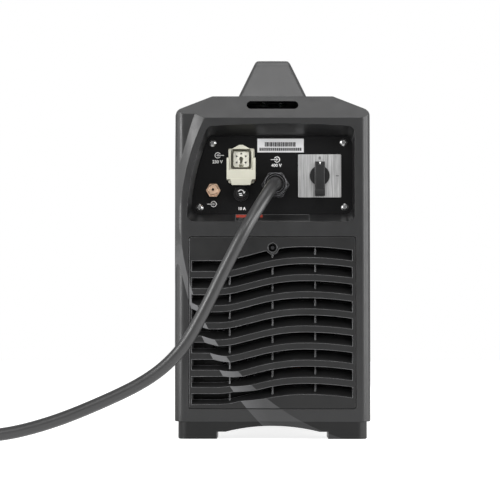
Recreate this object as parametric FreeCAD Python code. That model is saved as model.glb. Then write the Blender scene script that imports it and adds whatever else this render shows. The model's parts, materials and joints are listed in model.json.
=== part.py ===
"""Plasma cutter power unit: a portable inverter case with a moulded rear panel, seen from behind in the photo.

Millimetres, +Z up. The rear panel faces -Y and the operator's panel faces +Y. The origin is at the bottom
centre of the machine. Both ends are drawn as seen by someone who faces them, with the depth measured into
the machine, and the operator's end is then turned half a turn about Z.
"""
import math
import os

import FreeCAD
import Part

V = FreeCAD.Vector
X_AXIS = V(1, 0, 0)
Y_AXIS = V(0, 1, 0)
Z_AXIS = V(0, 0, 1)

# Whole machine
LENGTH = 504.0  # from the rear face to the front face
WIDTH = 216.0  # across the bezels
SKIRT_INSET = 4.0  # each foot lies this far inside the bezel's side
SKIRT_WIDTH = WIDTH - 2 * SKIRT_INSET
SKIRT_HEIGHT = 19.0  # the bezels start above the feet
ROOF_HEIGHT = 381.0  # flat top of the bezels
ROOF_FLAT = 135.0  # width of that flat top
SHOULDER_FALL = 24.3  # slope of the shoulders, degrees
SHOULDER_RADIUS = 11.0
SIDE_RADIUS = 11.0  # rounding of the bezels' upright outer edges
ROOF_RUN = 27.0  # the roof's sloped end reaches this far back
WALL = 3.0  # moulded walls
SHEET = 1.2  # steel sheet
BEZEL_DEPTH = 76.0
FIT = 0.3  # clearance between pieces that are put together by hand
RUNNING_FIT = 0.08  # radial clearance of turning and sliding pieces

# Swoosh: the area above and right of the band stands proud of the rest
STEP_DEPTH = 5.0
INNER_ARC_X = 150.6
INNER_ARC_Z = 241.6
INNER_ARC_RADIUS = 252.0
OUTER_ARC_X = 224.0
OUTER_ARC_Z = 246.0
OUTER_ARC_RADIUS = 330.0

# Recess for the connection panel
RECESS_DEPTH = 26.0
RECESS_RIGHT = 90.8
RECESS_TOP = 344.4
RECESS_CROWN = 3.3  # the upper edge bows up by this much
RECESS_BOTTOM = 238.8
RECESS_ARC_RADIUS = 244.8  # left edge, about the centre of the swoosh's inner arc
RECESS_CORNER = 8.0
PLATE_CORNER = 6.5
DRAFT_TOP = 8.6  # each wall leans inward by this much on its way to the panel
DRAFT_BOTTOM = 10.0
DRAFT_RIGHT = 2.1
DRAFT_LEFT = 3.6
PLATE_THICKNESS = 2.0

# Rear grille panel
GRILLE_LEFT = -91.7
GRILLE_RIGHT = 91.3
GRILLE_BOTTOM = 33.4
GRILLE_TOP = 221.8
GRILLE_GAP = 0.8
GRILLE_CORNER = 2.2
GRILLE_DEPTH = 11.5
SLOT_LEFT = -89.2
SLOT_RIGHT = 88.0
SLOT_ROWS = 9
SLOT_PITCH = 18.8
SLOT_HEIGHT = 11.7
SLOT_SLOPE = 0.85  # the blades rise by this much for each millimetre of depth
FIRST_SLOT_EDGE = 183.8  # lower edge of the top slot at its left end
WAVE_LOW_X = -62.0
WAVE_CREST_X = 36.0
WAVE_CREST = 15.5
WAVE_RADIUS_LOW = 98.0
WAVE_RADIUS_HIGH = 200.0
WAVE_RADIUS_END = 347.0
RIB_X = (-47.1, 0.0, 47.1)
RIB_WIDTH = 1.3
RIB_SETBACK = 4.0
BOSS_Z = 210.3
BOSS_RADIUS = 7.3
BOSS_HOLE_RADIUS = 5.0

# Handle
HANDLE_FOOT_WIDTH = 76.6
HANDLE_TOP_WIDTH = 37.0
HANDLE_RISE = 49.0  # from the roof to the top of the handle at its middle
HANDLE_HEIGHT = ROOF_HEIGHT + HANDLE_RISE
HANDLE_BOW = 6.0  # its middle is higher than its ends by this much
HANDLE_END_HEIGHT = HANDLE_HEIGHT - HANDLE_BOW
HANDLE_EDGE = 4.4  # rounding of its upper edges
HANDLE_SETBACK = ROOF_RUN + 3.0  # from the end faces to the foot of the handle
HANDLE_LEAN = 16.0  # its ends lean inward by this much
HANDLE_GRIP = 20.0  # thickness of the grip
HANDLE_LEG = 47.0  # length of each foot along the roof
STRAP_SLOT_WIDTH = 57.5
STRAP_SLOT_HEIGHT = 9.8
STRAP_SLOT_Z = ROOF_HEIGHT - 11.0

# Connection panel hardware, seen from behind: X and Z of each centre
PLATE_SCREWS = ((-67.1, 328.4), (79.4, 329.2), (80.7, 256.6), (-81.4, 256.1))
SOCKET_X = -34.7
SOCKET_Z = 302.6
SOCKET_BODY_WIDTH = 26.0
SOCKET_HEIGHT = 36.6
SOCKET_REACH = 22.0  # how far the socket stands out of the panel
SOCKET_OPENING = 23.0
SOCKET_OPENING_HEIGHT = 22.4
SOCKET_PEAK = 3.2  # its roof rises by this much in the middle
SOCKET_LIFT = 5.9  # the opening's centre above SOCKET_Z
INSERT_SIZE = 17.3
CONTACT_PITCH = 10.2
CONTACT_RADIUS = 1.6
LEVER_THICKNESS = 2.6
LEVER_PLATE = 2.2
FUSE_X = -35.0
FUSE_Z = 271.5
FUSE_CAP_RADIUS = 6.5
FUSE_FLANGE_RADIUS = 8.3
FUSE_BORE_RADIUS = 4.6
FUSE_BODY_LENGTH = 38.0
CARTRIDGE_RADIUS = 2.5
CARTRIDGE_LENGTH = 20.0
INLET_X = -65.9
INLET_Z = 274.9
INLET_HEX = 14.0
INLET_NIPPLE_RADIUS = 5.8
INLET_BORE_RADIUS = 1.5
INLET_REACH = 18.0
INLET_THREAD_RADIUS = 5.0
GLAND_X = 3.3
GLAND_Z = 281.0
GLAND_HEX = 27.0
GLAND_NUT_RADIUS = 11.8
GLAND_THREAD_RADIUS = 10.0
GLAND_FACE = 1.0  # the nut's face lies this far behind the rear face
GLAND_NUT_SEAT = 19.0
CORD_RADIUS = 6.75
SWITCH_X = 52.6
SWITCH_Z = 291.5
SWITCH_PLATE = 48.0
SWITCH_PLATE_THICKNESS = 1.6
KNOB_DISC_RADIUS = 11.2
KNOB_GRIP_WIDTH = 11.0
KNOB_GRIP_UP = 14.5
KNOB_GRIP_DOWN = 22.9
KNOB_HEIGHT = 19.0
KNOB_SHAFT = 3.0
SWITCH_BODY = 44.0
SWITCH_BODY_DEPTH = 46.0

# Fan and inner sheets
FAN_Z = 127.0
FAN_FRAME = 152.0
FAN_BORE_RADIUS = 71.0
FAN_THICKNESS = 38.0
FAN_HUB_RADIUS = 27.0
FAN_BLADES = 7
FAN_TIP_GAP = 2.0
FAN_SHAFT_RADIUS = 3.0
INNER_PANEL_DEPTH = 58.0
INNER_HALF_WIDTH = WIDTH / 2 - 8.0
SHELF_Z = 240.0

REAR = -LENGTH / 2


def save(name, *shapes):
    """Write one sub-part, made of one or more separate solids, to its own file."""
    solids = [solid for shape in shapes for solid in shape.Solids]
    shape = solids[0] if len(solids) == 1 else Part.makeCompound(solids)
    shape.exportStep(f"parts/{name}.step")
    MODEL[name] = shape


def box(x0, x1, y0, y1, z0, z1):
    return Part.makeBox(x1 - x0, y1 - y0, z1 - z0, V(x0, y0, z0))


def rod(radius, start, direction, length):
    return Part.makeCylinder(radius, length, V(*start), direction)


def tube(radius, bore, start, direction, length):
    return rod(radius, start, direction, length).cut(rod(bore, start, direction, length))


def cone(radius_start, radius_end, start, direction, length):
    return Part.makeCone(radius_start, radius_end, length, V(*start), direction)


def path(points, radii):
    """A closed wire in the XZ plane through (x, z) corners, each corner rounded by its radius."""
    corners = [V(x, 0, z) for x, z in points]
    count = len(corners)
    ends = []
    for i, corner in enumerate(corners):
        before = (corners[i - 1] - corner).normalize()
        after = (corners[(i + 1) % count] - corner).normalize()
        radius = radii[i]
        if radius <= 0:
            ends.append((corner, None, corner))
            continue
        half = before.getAngle(after) / 2
        reach = radius / math.tan(half)
        middle = corner + (before + after).normalize() * (radius / math.sin(half) - radius)
        ends.append((corner + before * reach, middle, corner + after * reach))
    edges = []
    for i, (first, middle, last) in enumerate(ends):
        if middle is not None:
            edges.append(Part.Arc(first, middle, last).toShape())
        following = ends[(i + 1) % count][0]
        if (following - last).Length > 1e-6:
            edges.append(Part.LineSegment(last, following).toShape())
    return Part.Wire(edges)


def slab(wire, y0, y1):
    """The area inside a wire in the XZ plane, thickened from y0 to y1."""
    face = Part.Face(wire)
    face.translate(V(0, y0, 0))
    return face.extrude(V(0, y1 - y0, 0))


def rounded_slab(x0, x1, z0, z1, radius, y0, y1):
    corners = [(x0, z0), (x1, z0), (x1, z1), (x0, z1)]
    return slab(path(corners, [radius] * len(corners)), y0, y1)


def hexagon(across_flats, flat_on_top=True):
    """A hexagon in the XZ plane about the origin."""
    reach = across_flats / math.sqrt(3)
    turn = 0 if flat_on_top else 30
    angles = [math.radians(60 * i + turn) for i in range(6)]
    return path([(reach * math.cos(a), reach * math.sin(a)) for a in angles], [0] * 6)


def place(shape, x=0.0, y=0.0, z=0.0):
    moved = shape.copy()
    moved.translate(V(x, y, z))
    return moved


def to_front(shape):
    """Turn a piece drawn for the rear end half a turn about Z, which puts it at the operator's end."""
    turned = shape.copy()
    turned.rotate(V(0, 0, 0), Z_AXIS, 180)
    return turned


def fuse(first, *others):
    return first.multiFuse(list(others)).removeSplitter() if others else first


def pan_screw(x, y, z, head_radius, shank_radius, shank_length, head_height, direction=Y_AXIS):
    """A pan-head screw whose head seats at (x, y, z) and whose shank runs along direction."""
    seat = V(x, y, z)
    dome = Part.makeSphere(1.45 * head_radius, seat + direction * (1.45 * head_radius - head_height))
    head = Part.makeCylinder(head_radius, head_height, seat, direction * -1).common(dome)
    shank = Part.makeCylinder(shank_radius, shank_length + 0.5, seat - direction * 0.5, direction)
    socket = Part.makeCylinder(0.45 * head_radius, 0.5 * head_height, seat - direction * head_height, direction)
    return head.fuse(shank).cut(socket)


MODEL = {}


def depth(d):
    """The Y place of a point d behind the rear face."""
    return REAR + d


def outline(half_width, bottom, inset):
    """The end view of a bezel: upright sides, sloping shoulders and a flat top."""
    half = half_width - inset
    top = ROOF_HEIGHT - inset
    flat = ROOF_FLAT / 2 - inset * math.tan(math.radians(SHOULDER_FALL / 2))
    shoulder = top - (half - flat) * math.tan(math.radians(SHOULDER_FALL))
    low = bottom + inset
    corners = [(-half, low), (half, low), (half, shoulder), (flat, top), (-flat, top), (-half, shoulder)]
    soft = max(SHOULDER_RADIUS - inset, 1.0)
    return path(corners, [2, 2, soft, 6, 6, soft])


def rounded_front(left, right, front, back, radius, z0, z1):
    """An upright block whose two front edges are rounded."""
    inner = box(left + radius, right - radius, front, back, z0, z1)
    sides = box(left, right, front + radius, back, z0, z1)
    posts = [rod(radius, (x, front + radius, z0), Z_AXIS, z1 - z0) for x in (left + radius, right - radius)]
    return fuse(inner, sides, *posts)


def swoosh_cone(inset):
    """What the swoosh leaves standing: a slanted cone between its two arcs, carried on past the step."""

    def ring(d):
        share = (d - inset) / STEP_DEPTH
        radius = INNER_ARC_RADIUS + share * (OUTER_ARC_RADIUS - INNER_ARC_RADIUS)
        x = INNER_ARC_X + share * (OUTER_ARC_X - INNER_ARC_X)
        z = INNER_ARC_Z + share * (OUTER_ARC_Z - INNER_ARC_Z)
        return Part.Wire(Part.Circle(V(x, depth(d), z), Y_AXIS, radius).toShape())

    return Part.makeLoft([ring(inset - 1), ring(inset + STEP_DEPTH + SIDE_RADIUS + 2)], True, True)


def envelope(half_width, bottom, inset=0.0, back=BEZEL_DEPTH):
    """The outer form of one end of the machine, or of its hollow when it is inset by the wall."""
    front = depth(inset)
    radius = SIDE_RADIUS - inset
    half = half_width - inset
    low = bottom - 1
    form = slab(outline(half_width, bottom, inset), front - 1, depth(back))
    form = form.common(rounded_front(-half, half, front, depth(back) + 1, radius, low, ROOF_HEIGHT + 1))
    sunk = rounded_front(-half, 2 * half, front + STEP_DEPTH, depth(back) + 1, radius, low - 1, ROOF_HEIGHT + 2)
    reach = front + STEP_DEPTH + radius
    shallow = box(-half - 1, half + 1, front - 2, reach, low, ROOF_HEIGHT + 1)
    form = form.cut(shallow.cut(sunk).cut(swoosh_cone(inset)))
    rise = ROOF_HEIGHT - ROOF_RUN - inset * math.sqrt(2) + inset
    run = ROOF_HEIGHT - rise + 20
    corners = [V(-half - 1, front - 2, rise - 2), V(-half - 1, front - 2, rise + run), V(-half - 1, front + run, rise + run)]
    wedge = Part.Face(Part.makePolygon(corners + corners[:1])).extrude(V(2 * half + 2, 0, 0))
    return form.cut(wedge)


def arc_x(radius, z):
    """Where the recess's curved left edge is at a height."""
    return INNER_ARC_X - math.sqrt(radius**2 - (z - INNER_ARC_Z) ** 2)


def recess_wire(d, grow):
    """The recess's outline at a depth: curved left edge, bowed top, straight right and bottom edges."""
    share = d / RECESS_DEPTH
    low = RECESS_BOTTOM + share * DRAFT_BOTTOM - grow
    high = RECESS_TOP - share * DRAFT_TOP + grow
    right = RECESS_RIGHT - share * DRAFT_RIGHT + grow
    radius = RECESS_ARC_RADIUS - share * DRAFT_LEFT + grow
    crown = max(RECESS_CROWN * (1 - share), 0.4)
    y = depth(d)
    middle_z = (low + high) / 2
    low_left = V(arc_x(radius, low), y, low)
    high_left = V(arc_x(radius, high), y, high)
    low_right = V(right, y, low)
    high_right = V(right, y, high)
    crest = V((high_left.x + right) / 2, y, high + crown)
    left_edge = Part.Arc(high_left, V(arc_x(radius, middle_z), y, middle_z), low_left)
    top_edge = Part.Arc(high_right, crest, high_left)
    bottom_edge = Part.LineSegment(low_left, low_right)
    right_edge = Part.LineSegment(low_right, high_right)
    return Part.Wire([e.toShape() for e in (left_edge, bottom_edge, right_edge, top_edge)])


def recess_form(d0, d1, grow, corner):
    """The recess as a tapered solid with rounded corners, from depth d0 to depth d1."""
    solid = Part.makeLoft([recess_wire(d0, grow), recess_wire(d1, grow)], True, True)
    uprights = [e for e in solid.Edges if abs(e.Vertexes[0].Y - e.Vertexes[-1].Y) > 0.5 * abs(d1 - d0)]
    return solid.makeFillet(corner, uprights)


def plate_form(d0, d1, shrink, corner):
    """The connection panel's outline, straight through from depth d0 to depth d1."""
    face = Part.Face(recess_wire(RECESS_DEPTH, -shrink))
    face.translate(V(0, d0 - RECESS_DEPTH, 0))
    solid = face.extrude(V(0, d1 - d0, 0))
    uprights = [e for e in solid.Edges if abs(e.Vertexes[0].Y - e.Vertexes[-1].Y) > 0.5 * (d1 - d0)]
    return solid.makeFillet(corner, uprights)


def wave_edge(z):
    """The louvres' wavy line as edges from left to right, starting at height z: flat, up to a crest, down again."""
    rise_run = WAVE_CREST_X - WAVE_LOW_X
    both = WAVE_RADIUS_LOW + WAVE_RADIUS_HIGH
    lean = math.atan2(rise_run, both - WAVE_CREST)
    turn = lean - math.acos(both / math.hypot(rise_run, both - WAVE_CREST))
    low_centre = V(WAVE_LOW_X, 0, z + WAVE_RADIUS_LOW)
    high_centre = V(WAVE_CREST_X, 0, z + WAVE_CREST - WAVE_RADIUS_HIGH)
    end_centre = V(WAVE_CREST_X, 0, z + WAVE_CREST - WAVE_RADIUS_END)
    end_turn = math.asin((SLOT_RIGHT - WAVE_CREST_X) / WAVE_RADIUS_END)

    def on(centre, radius, angle):
        return centre + V(math.sin(angle), 0, math.cos(angle)) * radius

    start = V(SLOT_LEFT, 0, z)
    foot = V(WAVE_LOW_X, 0, z)
    bend_middle = on(low_centre, -WAVE_RADIUS_LOW, -turn / 2)
    bend_end = on(low_centre, -WAVE_RADIUS_LOW, -turn)
    climb_end = on(high_centre, WAVE_RADIUS_HIGH, -turn)
    crest_middle = on(high_centre, WAVE_RADIUS_HIGH, -turn / 2)
    crest = V(WAVE_CREST_X, 0, z + WAVE_CREST)
    fall_middle = on(end_centre, WAVE_RADIUS_END, end_turn / 2)
    end = on(end_centre, WAVE_RADIUS_END, end_turn)
    return [
        Part.LineSegment(start, foot).toShape(),
        Part.Arc(foot, bend_middle, bend_end).toShape(),
        Part.LineSegment(bend_end, climb_end).toShape(),
        Part.Arc(climb_end, crest_middle, crest).toShape(),
        Part.Arc(crest, fall_middle, end).toShape(),
    ], start, end


def louvre_slot(z, thickness):
    """One slot between two blades, cut along the blades' slope through a panel of this thickness."""
    low, low_start, low_end = wave_edge(z)
    high, high_start, high_end = wave_edge(z + SLOT_HEIGHT)
    right = Part.LineSegment(low_end, high_end).toShape()
    left = Part.LineSegment(high_start, low_start).toShape()
    wire = Part.Wire(low + [right] + high[::-1] + [left])
    face = Part.Face(wire)
    face.translate(V(0, depth(-1), -SLOT_SLOPE))
    return face.extrude(V(0, thickness + 2, (thickness + 2) * SLOT_SLOPE))


def louvred_panel(form, bottom, top, first_edge, rows, ribs_top):
    """A louvred panel cut from the end's form, with its upright ribs set back behind the blades."""
    panel = form.common(rounded_slab(GRILLE_LEFT, GRILLE_RIGHT, bottom, top, GRILLE_CORNER, depth(-1), depth(GRILLE_DEPTH)))
    for row in range(rows):
        panel = panel.cut(louvre_slot(first_edge - row * SLOT_PITCH, GRILLE_DEPTH + STEP_DEPTH))
    low = max(first_edge - (rows - 1) * SLOT_PITCH - 2, bottom + 1)
    behind = place(form, y=RIB_SETBACK)
    ribs = []
    for x in RIB_X:
        bar = box(x - RIB_WIDTH / 2, x + RIB_WIDTH / 2, depth(0), depth(GRILLE_DEPTH), low, ribs_top(x))
        ribs.append(bar.common(behind))
    return fuse(panel, *ribs)


BEZEL_HALF = WIDTH / 2
PLATE_BACK = RECESS_DEPTH + PLATE_THICKNESS
LEDGE = 4.0  # rim that the grille and the panels lie on
LEDGE_THICKNESS = 3.0
BEZEL_FORM = envelope(BEZEL_HALF, SKIRT_HEIGHT)
BEZEL_HOLLOW = envelope(BEZEL_HALF, SKIRT_HEIGHT, WALL, BEZEL_DEPTH + 1)
PANEL_BOLT_RADIUS = 2.0
HANDLE_BOLT_RADIUS = 3.0
BOLT_HEAD_RADIUS = 5.5
FOOT_Y0 = HANDLE_SETBACK + 12.0  # first bolt of each handle foot, from the end face
FOOT_Y1 = HANDLE_SETBACK + HANDLE_LEG - 10.0


def recess_pocket():
    """Walls and floor of the moulded recess, before it is hollowed, and the hollow with its window."""
    block = recess_form(0.5, PLATE_BACK + LEDGE_THICKNESS, WALL, RECESS_CORNER + WALL)
    hollow = fuse_all(
        recess_form(-1, RECESS_DEPTH, 0, RECESS_CORNER),
        plate_form(RECESS_DEPTH - 0.5, PLATE_BACK, -FIT, PLATE_CORNER),
        plate_form(PLATE_BACK - 1, PLATE_BACK + LEDGE_THICKNESS + 1, 2 * LEDGE, RECESS_CORNER),
    )
    corners = []
    holes = []
    for x, z in PLATE_SCREWS:
        corners.append(rod(2 * LEDGE, (x, depth(PLATE_BACK), z), Y_AXIS, LEDGE_THICKNESS))
        holes.append(rod(PANEL_BOLT_RADIUS + FIT / 2, (x, depth(PLATE_BACK - 1), z), Y_AXIS, LEDGE_THICKNESS + 2))
    inside = plate_form(PLATE_BACK, PLATE_BACK + LEDGE_THICKNESS, -WALL, RECESS_CORNER)
    lugs = [corner.common(inside) for corner in corners]
    return block, hollow, lugs, holes


def fuse_all(*shapes):
    return shapes[0].multiFuse(list(shapes[1:]))


def grille_pocket(bottom, top):
    """A collar behind the face round a grille, with the ledge that the grille lies on."""
    grow = GRILLE_GAP + WALL
    collar = rounded_slab(
        GRILLE_LEFT - grow, GRILLE_RIGHT + grow, bottom - grow, top + grow, GRILLE_CORNER + grow,
        depth(1), depth(GRILLE_DEPTH + LEDGE_THICKNESS),
    )
    opening = rounded_slab(
        GRILLE_LEFT - GRILLE_GAP, GRILLE_RIGHT + GRILLE_GAP, bottom - GRILLE_GAP, top + GRILLE_GAP,
        GRILLE_CORNER + GRILLE_GAP, depth(-1), depth(GRILLE_DEPTH),
    )
    window = rounded_slab(
        GRILLE_LEFT + LEDGE, GRILLE_RIGHT - LEDGE, bottom + LEDGE, top - LEDGE, GRILLE_CORNER,
        depth(GRILLE_DEPTH - 1), depth(GRILLE_DEPTH + LEDGE_THICKNESS + 1),
    )
    return collar, opening.fuse(window)


def strap_slot():
    """The rounded slot through the sloped roof."""
    half = STRAP_SLOT_WIDTH / 2
    radius = STRAP_SLOT_HEIGHT / 2 - 0.01
    low = STRAP_SLOT_Z - STRAP_SLOT_HEIGHT / 2
    return rounded_slab(-half, half, low, low + STRAP_SLOT_HEIGHT, radius, depth(-1), depth(ROOF_RUN + 2))


def handle_bolt_holes():
    places = [(x, d) for d in (FOOT_Y0, FOOT_Y1) for x in (-HANDLE_TOP_WIDTH / 4, HANDLE_TOP_WIDTH / 4)]
    radius = HANDLE_BOLT_RADIUS + FIT / 2
    return [rod(radius, (x, depth(d), ROOF_HEIGHT - WALL - 1), Z_AXIS, WALL + 2) for x, d in places]


def rear_bezel():
    block, hollow, lugs, bolt_holes = recess_pocket()
    collar, opening = grille_pocket(GRILLE_BOTTOM, GRILLE_TOP)
    inside = BEZEL_FORM
    shell = BEZEL_FORM.cut(BEZEL_HOLLOW)
    shell = fuse_all(shell, block.common(inside), collar.common(inside))
    shell = shell.cut(Part.makeCompound([hollow, opening]))
    shell = shell.multiFuse(lugs)
    boss = rod(BOSS_RADIUS, (0, depth(GRILLE_DEPTH), BOSS_Z), Y_AXIS, LEDGE_THICKNESS)
    tie = box(-BOSS_RADIUS, BOSS_RADIUS, depth(GRILLE_DEPTH), depth(GRILLE_DEPTH + LEDGE_THICKNESS), BOSS_Z, GRILLE_TOP)
    shell = shell.multiFuse([boss, tie])
    boss_hole = rod(PANEL_BOLT_RADIUS + FIT / 2, (0, depth(GRILLE_DEPTH - 1), BOSS_Z), Y_AXIS, LEDGE_THICKNESS + 2)
    cutters = [strap_slot(), boss_hole] + bolt_holes + handle_bolt_holes() + skirt_screw_holes()
    save("rear_bezel", shell.cut(Part.makeCompound(cutters)).removeSplitter())


def rear_grille():
    def ribs_top(x):
        if x == 0:
            return BOSS_Z
        return FIRST_SLOT_EDGE + WAVE_CREST + SLOT_HEIGHT

    panel = louvred_panel(BEZEL_FORM, GRILLE_BOTTOM, GRILLE_TOP, FIRST_SLOT_EDGE, SLOT_ROWS, ribs_top)
    boss = rod(BOSS_RADIUS, (0, depth(0), BOSS_Z), Y_AXIS, GRILLE_DEPTH)
    sink = rod(BOSS_HOLE_RADIUS, (0, depth(-1), BOSS_Z), Y_AXIS, GRILLE_DEPTH - 3)
    hole = rod(PANEL_BOLT_RADIUS + FIT / 2, (0, depth(0), BOSS_Z), Y_AXIS, GRILLE_DEPTH + 1)
    save("rear_grille", panel.fuse(boss).cut(Part.makeCompound([sink, hole])).removeSplitter())


def grille_screws():
    """One screw in the rear grille's boss and two in the front grille."""
    rear = pan_screw(0, depth(GRILLE_DEPTH - 4), BOSS_Z, 3.8, PANEL_BOLT_RADIUS, 14, 2.4)
    front = [pan_screw(x, depth(FRONT_SCREW_SEAT), FRONT_SCREW_Z, 3.8, PANEL_BOLT_RADIUS, 14, 2.4) for x in FRONT_SCREW_X]
    save("grille_screws", rear, *[to_front(screw) for screw in front])

PLATE_FACE = RECESS_DEPTH
SOCKET_HOLE_WIDTH = SOCKET_BODY_WIDTH - 4
SOCKET_HOLE_LOW = SOCKET_Z - SOCKET_HEIGHT / 2 + 3
SOCKET_HOLE_HIGH = SOCKET_Z + SOCKET_LIFT + INSERT_SIZE / 2 + 1.2
SOCKET_DEPTH_BEHIND = 20.0


def connection_plate():
    """The steel plate in the recess, with its holes, and the four screws in its corners."""
    plate = plate_form(PLATE_FACE, PLATE_BACK, 0, PLATE_CORNER)
    front = depth(PLATE_FACE - 1)
    through = PLATE_THICKNESS + 2
    half_w = SOCKET_HOLE_WIDTH / 2
    holes = [
        rod(FUSE_CAP_RADIUS + FIT, (FUSE_X, front, FUSE_Z), Y_AXIS, through),
        rod(INLET_THREAD_RADIUS + FIT, (INLET_X, front, INLET_Z), Y_AXIS, through),
        rod(GLAND_THREAD_RADIUS + FIT, (GLAND_X, front, GLAND_Z), Y_AXIS, through),
        rod(KNOB_SHAFT + 4, (SWITCH_X, front, SWITCH_Z), Y_AXIS, through),
        box(SOCKET_X - half_w, SOCKET_X + half_w, front, front + through, SOCKET_HOLE_LOW, SOCKET_HOLE_HIGH),
    ]
    for x, z in PLATE_SCREWS:
        holes.append(rod(PANEL_BOLT_RADIUS + FIT / 2, (x, front, z), Y_AXIS, through))
    save("connection_plate", plate.cut(Part.makeCompound(holes)))
    screws = [pan_screw(x, depth(PLATE_FACE), z, 4.3, PANEL_BOLT_RADIUS, 8, 2.6) for x, z in PLATE_SCREWS]
    save("panel_screws", *(screws + [to_front(screw) for screw in screws]))


def socket_outline(grow, y0, y1):
    """The socket housing's front view: a box with a low gable on top."""
    half = SOCKET_BODY_WIDTH / 2 + grow
    low = SOCKET_Z - SOCKET_HEIGHT / 2 - grow
    high = SOCKET_Z + SOCKET_HEIGHT / 2 + grow
    peak = 0.15 * half
    x = SOCKET_X
    corners = [(x - half, low), (x + half, low), (x + half, high - 3), (x + half - 5, high), (x + peak, high + SOCKET_PEAK),
               (x - peak, high + SOCKET_PEAK), (x - half + 5, high), (x - half, high - 3)]
    return slab(path(corners, [1.5, 1.5, 1.5, 1.5, 1.0, 1.0, 1.5, 1.5]), y0, y1)


LEVER_PIVOT_Z = SOCKET_Z + 3.0
LEVER_PIVOT_D = PLATE_FACE - SOCKET_REACH / 2
LEVER_PIN_RADIUS = 2.2
SOCKET_HALF_OUTER = SOCKET_BODY_WIDTH / 2
OPENING_Z = SOCKET_Z + SOCKET_LIFT


def supply_socket():
    """The rectangular supply socket: hood, contact insert, four contacts and the locking lever that swings."""
    face = depth(PLATE_FACE - SOCKET_REACH)
    hood = socket_outline(0, face, depth(PLATE_FACE))
    flange_half = SOCKET_HALF_OUTER + 1.5
    flange = rounded_slab(SOCKET_X - flange_half, SOCKET_X + flange_half, SOCKET_Z - SOCKET_HEIGHT / 2 - 1,
                          SOCKET_Z + SOCKET_HEIGHT / 2 + 1, 2, depth(PLATE_FACE - 3), depth(PLATE_FACE))
    half_o = SOCKET_OPENING / 2
    cavity = rounded_slab(SOCKET_X - half_o, SOCKET_X + half_o, OPENING_Z - SOCKET_OPENING_HEIGHT / 2,
                          OPENING_Z + SOCKET_OPENING_HEIGHT / 2, 2, face - 1, depth(PLATE_FACE - 3))
    half_w = SOCKET_HOLE_WIDTH / 2 - FIT
    tail = box(SOCKET_X - half_w, SOCKET_X + half_w, depth(PLATE_FACE), depth(PLATE_BACK + SOCKET_DEPTH_BEHIND),
               SOCKET_HOLE_LOW + FIT, SOCKET_HOLE_HIGH - FIT)
    pins = rod(LEVER_PIN_RADIUS, (SOCKET_X - SOCKET_HALF_OUTER - LEVER_THICKNESS - FIT, depth(LEVER_PIVOT_D), LEVER_PIVOT_Z),
               X_AXIS, 2 * (SOCKET_HALF_OUTER + LEVER_THICKNESS + FIT))
    pins = pins.cut(box(SOCKET_X - half_o - 1, SOCKET_X + half_o + 1, face - 1, depth(PLATE_FACE), LEVER_PIVOT_Z - 5,
                        LEVER_PIVOT_Z + 5))
    insert_seat = INSERT_SIZE / 2 + FIT
    seat_hole = box(SOCKET_X - insert_seat, SOCKET_X + insert_seat, depth(PLATE_FACE - 8), depth(PLATE_BACK + 6),
                    OPENING_Z - insert_seat, OPENING_Z + insert_seat)
    housing = fuse_all(hood, flange, tail).cut(cavity).cut(seat_hole).fuse(pins).removeSplitter()
    save("socket_housing", housing)
    save("socket_insert", socket_insert())
    contacts = []
    half = CONTACT_PITCH / 2
    for x in (-half, half):
        for z in (-half, half):
            where = (SOCKET_X + x, depth(INSERT_FACE + 5), OPENING_Z + z * 0.7)
            contacts.append(tube(CONTACT_RADIUS, 0.9, where, Y_AXIS, PLATE_BACK + 6 - INSERT_FACE - 5))
    save("socket_contacts", *contacts)
    save("socket_lever", socket_lever())


INSERT_FACE = PLATE_FACE - SOCKET_REACH + 5.0


def socket_insert():
    """The square insulating block with four contact holes, a keyed centre hole and a notch below."""
    half = INSERT_SIZE / 2
    block = rounded_slab(SOCKET_X - half, SOCKET_X + half, OPENING_Z - half, OPENING_Z + half, 2,
                         depth(INSERT_FACE), depth(PLATE_BACK + 6))
    front = depth(INSERT_FACE - 1)
    cuts = []
    pitch = CONTACT_PITCH / 2
    for x in (-pitch, pitch):
        for z in (-pitch, pitch):
            place_z = OPENING_Z + z * 0.7
            cuts.append(rod(1.1, (SOCKET_X + x, front, place_z), Y_AXIS, 8))
            cuts.append(rod(CONTACT_RADIUS + 0.02, (SOCKET_X + x, depth(INSERT_FACE + 5), place_z), Y_AXIS, 40))
    cuts.append(rod(2.3, (SOCKET_X, front, OPENING_Z + 0.5), Y_AXIS, 9))
    cuts.append(box(SOCKET_X - 1.4, SOCKET_X + 1.4, front, front + 9, OPENING_Z - 5, OPENING_Z + 0.5))
    cuts.append(box(SOCKET_X - 2.7, SOCKET_X + 2.7, front, front + 5, OPENING_Z - half - 1, OPENING_Z - half + 3))
    cuts.append(rod(1.0, (SOCKET_X, front, OPENING_Z + 6.3), Y_AXIS, 7))
    return block.cut(Part.makeCompound(cuts))


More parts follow.
